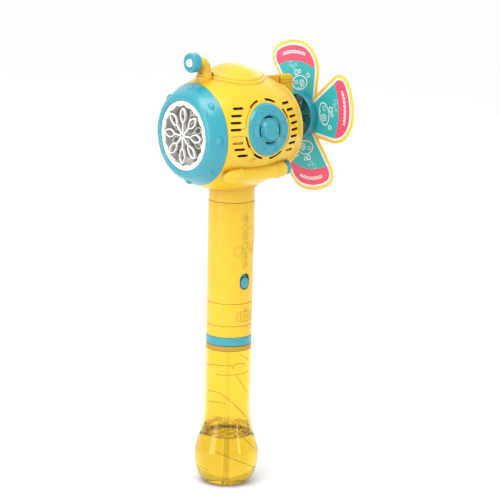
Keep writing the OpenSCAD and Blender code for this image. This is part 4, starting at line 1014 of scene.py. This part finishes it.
def handle_tube():
    r, top = 21.75, 276.9
    rows = list(zip(span(r, HANDLE_R, 20), span(181, 275.5, 20)))[1:-1]
    prof = fillet([(19.8, 179.5), (r, 179.5, 0.45), (HANDLE_R, top, 0.45), (19.8, top)])
    body = lathe(prof[:6] + rows + prof[6:], 192)
    boolean(body, door_wedge(0))
    lug = box_mesh((-12, -25, 209.5), (-8, 25, 217.5))
    boolean(lug, lathe([(0, 200), (20.3, 200), (20.3, 230), (0, 230)]), "INTERSECT")
    post = rod((-18, 0, SCREW_Z), (-9, 0, SCREW_Z), 3.2, 32, 0.2)
    boolean(post, rod((-30, 0, SCREW_Z), (-9.5, 0, SCREW_Z), 1.3, 24))
    boolean(body, slab_yz([(y, BUTTON_Z + z) for y, z in stadium(10.8, 15.5, 16)], 10, 30, 0))
    marks = [relief_ring(89, z, r, 0.55, 0.75) for z, r in
             ((262, 3.3), (253, 3.0), (244.2, 3.4), (235.3, 3.0), (226.3, 3.3), (217.6, 2.6))]
    marks += [relief_ring(a, z, r, 0.5, 0.7, 18) for a, z, r in
              ((92, 262, 1.2), (86, 244.2, 1.3), (92, 226.3, 1.2))]
    marks += [relief_ring(a, z, r, 0.42, 0.6, n) for a, z, r, n in
              ((113, 244.5, 8.6, 36), (69, 230.5, 4.4, 36), (113, 231, 3.0, 24))]
    rim = [(sqrt(21.86 ** 2 - y * y), y, BUTTON_Z + z) for y, z in stadium(11.6, 16.3, 23)]
    marks.append(tube(rim, 0.4, up=lambda p: (HANDLE_R, p.y, 0), closed=True, flat=0.7))
    wear([body, lug, post] + marks, "handle_tube_body", "yellow", "handle_tube", sharp=38)


def battery_door():
    door = lathe(fillet([(19.8, 207), (21.9, 207, 0.4), (21.9, 274, 0.4), (19.8, 274)]), 192)
    boolean(door, door_wedge(-0.3), "INTERSECT")
    for x, r, seg in ((-20.9, 2.8, 32), (-10, 1.3, 24)):
        boolean(door, rod((-23, 0, SCREW_Z), (x, 0, SCREW_Z), r, seg))
    ribs = [relief_line([(a, 258 + 2.2 * k) for a in range(-110, -69, 4)], 21.85, 0.5, 0.8) for k in range(5)]
    wear([door] + ribs, "battery_door_cover", "yellow", "battery_door", body="door", sharp=38)
    prof = fillet([(0, 0), (1.15, 0), (1.15, 10.9), (2.4, 10.9, 0.1), (2.3, 11.7, 0.3), (0, 11.9)])
    screw = lathe(prof, 32, lambda x, y, h: (-10 - h, y, SCREW_Z + x))
    cut_each(screw, [box_mesh((-23, -w, SCREW_Z - h), (-21.4, w, SCREW_Z + h))
                     for w, h in ((1.7, 0.32), (0.32, 1.7))])
    wear(screw, "door_screw_body", "steel", "door_screw", body="door")


def power_button():
    def slab(width, height, x0, x1, edge, drop=0.0):
        return slab_yz([(y, BUTTON_Z - drop + z) for y, z in stadium(width, height, 16)], x0, x1, edge)
    flange = slab(12.4, 17.6, 16.8, 18.3, 0.2)
    boolean(flange, lathe([(0, 180), (19.3, 180), (19.3, 220), (0, 220)]), "INTERSECT")
    parts = [flange, rod((13.2, 0, BUTTON_Z), (16.9, 0, BUTTON_Z), 1.6, 24, 0.1),
             slab(9.9, 14.6, 18.2, 19.3, 0.3), slab(9.0, 10.9, 19.2, 22.3, 0.8, 1.5)]
    wear(parts, "power_button_cap", "teal", "power_button", body="button")


socket_parts()
handle_tube()
battery_door()
power_button()


# ---- bottle

def bottle_r(z):
    if z <= 30:
        return 17 + 13.6 * (1 - ((30 - z) / 30) ** 2.2) ** (1 / 2.2)
    if z >= 74:
        return 21.8
    return 21.8 + 4.4 * (1 + cos(pi * ((z - 30) / 44) ** 0.745))


def foam(top):
    """Small bubbles round the wall, above the level of the solution."""
    bubbles = []
    for k in range(150):
        turn = 2.39996 * k
        size = 1.0 + 0.9 * (k * 7 % 11) / 11
        z = top + 0.6 + size * 0.5 + k % 10 / 10 * 7.5
        r = bottle_r(z) - 1.6 - size * (0.8 + 0.9 * (k * 5 % 7) / 7)
        ball = [(size * sin(t), -size * cos(t)) for t in span(0, pi, 6)[1:-1]]
        ball = [(0, -size)] + ball + [(0, size)]
        bubbles.append(lathe(ball, 10, lambda x, y, h: (r * sin(turn) + x, -r * cos(turn) + y, z + h)))
    return bubbles


def hairlines():
    """Thin raised curves on the bottle, each through (angle in degrees, height) points. Their dark brown
    colour is painted shade for the dark streaks seen through the clear wall.
    """
    hairs = []
    for points in (
            [(-24, 117.4), (0, 118.6), (29, 119.7), (61, 119.6)],
            [(60, 116.5), (64, 119.3), (70, 121.2), (81, 121.6), (92, 120.6), (97, 119)],
            [(19, 110.2), (40, 110.2), (60, 110.5), (82, 111), (102, 111.3), (118, 112.6)],
            [(71, 109.4), (89, 100.7), (108, 91)], [(81, 129.7), (97, 126.8), (118, 121.5)],
            [(-13, 81.4), (21, 82.9), (47, 82.5)],
            [(-14, 91.8), (14, 93.2), (31, 92.2), (52, 87.0), (73, 79.7), (90, 73), (105, 66.7)],
            [(16, 67.7), (41, 64.1), (60, 59.5), (75, 54), (90, 48), (104, 41), (118, 34)],
            [(33, 36), (50, 32.6), (66, 28.8), (90, 23), (122, 14.4)], [(-8, 18), (3, 16.8), (17, 16.4)]):
        path = []
        for (a, z), (b, w) in zip(points, points[1:]):
            path += list(zip(span(a, b, 5), span(z, w, 5)))[:-1]
        path.append(points[-1])
        hairs.append(tube([on_handle(rad(a), z, bottle_r(z) - 0.12) for a, z in path], 0.24, 6))
    return hairs


def bottle():
    level = 48.0
    zs = [30 * k ** 1.6 for k in span(0, 1, 22)] + span(30, 74, 26)[1:] + span(74, 129, 10)[1:]
    outer = [(0, 1.6), (9, 1.2), (14.5, 0.4), (16.2, 0.0)] + [(bottle_r(z), z) for z in zs[1:]]
    lip = fillet([(21.8, 129.4), (22.1, 130.4, 0.3), (22.1, 138, 0.5), (17, 138)])
    for z in (142.5, 146.5, 150.5):
        lip += [(17, z - 1.2), (18.2, z - 0.4), (18.2, z + 0.4), (17, z + 1.2)]
    lip += fillet([(17, 154.0), (17, 154.5, 0.2), (15.4, 154.5, 0.2), (15.4, 136), (20.2, 133)])
    inner = [(bottle_r(z) - 1.6, z) for z in zs[::-1] if z > 5]
    inner += [(bottle_r(3.4) - 3.0, 3.4), (14, 2.7), (8, 3.1), (0, 3.4)]
    wear(lathe(outer + lip + inner, 160), "bottle_shell", "clear_yellow", "bottle", M_BOTTLE, "bottle", 50)
    rim = [(20.4, 133.6), (21.3, 133.6, 0.3), (21.5, 137.7, 0.3), (16.2, 137.7), (16.2, 136.9), (20.2, 136.9)]
    wear(lathe(fillet(rim)), "bottle_shoulder_ring", "clear_yellow", None, M_AMBER, "bottle")
    wall = lambda z: bottle_r(z) - 1.55
    prof = [(3.0, 3.2), (8, 3.05), (14, 2.65), (bottle_r(3.4) - 2.95, 3.4)]
    prof += [(wall(z), z) for z in zs if 5 < z < level - 1]
    prof += [(wall(level), level + 0.9), (wall(level) - 0.5, level + 0.3), (wall(level) - 1.6, level),
             (4.6, level), (3.4, level + 0.4), (3.0, level + 1.0)]
    wear(lathe(prof, 128), "bubble_solution_body", "solution", "bubble_solution", M_LIQUID, "bottle", 60)
    wear(foam(level), "foam_bubbles", "solution", None, M_FOAM, "bottle", 80)
    wear(hairlines(), "bottle_hairlines", "clear_yellow", None, M_STREAK_SHADE, "bottle", 60)


bottle()


# ---- inner pieces kept from the frame

for names, mat in {
        "battery_holder tact_switch speaker":
            plastic("dark_plastic", lin(58, 58, 62), 0.5, painted_shade_rgb=lin(30, 30, 33)),
        "battery_contacts case_screws motor_can main_shaft": M_STEEL,
        "motor_shaft": metal("brass", lin(214, 178, 96), 0.26),
        "feed_nozzle gearbox_front_plate gearbox_rear_plate": M_WHITE,
        "dip_tube": clear_plastic("clear_tube", lin(255, 254, 248), 0.02, 1.35, 0.02),
        "compound_gear output_gear pump_gear pump_roller_1 pump_roller_2":
            plastic("nylon", lin(236, 234, 220), 0.45, painted_shade_rgb=lin(190, 186, 170), sss=0.1),
        "pump_rotor": plastic("orange_plastic", lin(236, 130, 46), 0.4),
        "pump_housing": plastic("pump_grey", lin(150, 154, 160), 0.42),
        "fan_impeller": plastic("fan_blue", lin(70, 140, 214), 0.36),
        "delivery_hose suction_hose pump_hose": rubber("silicone_hose", lin(228, 232, 224), 0.35, 0.35),
        "seal_ring": rubber("seal_silicone", lin(222, 176, 60), 0.5, 0.3),
        "battery_cells": plastic("cell_sleeve", lin(58, 120, 100), 0.3, 0.3),
        "circuit_board": plastic("board_green", lin(38, 110, 66), 0.35, 0.2),
        "wire_loom": plastic("wire_red", lin(190, 40, 32), 0.4),
}.items():
    for name in names.split():
        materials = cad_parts[name].data.materials
        materials.clear()
        materials.append(mat)
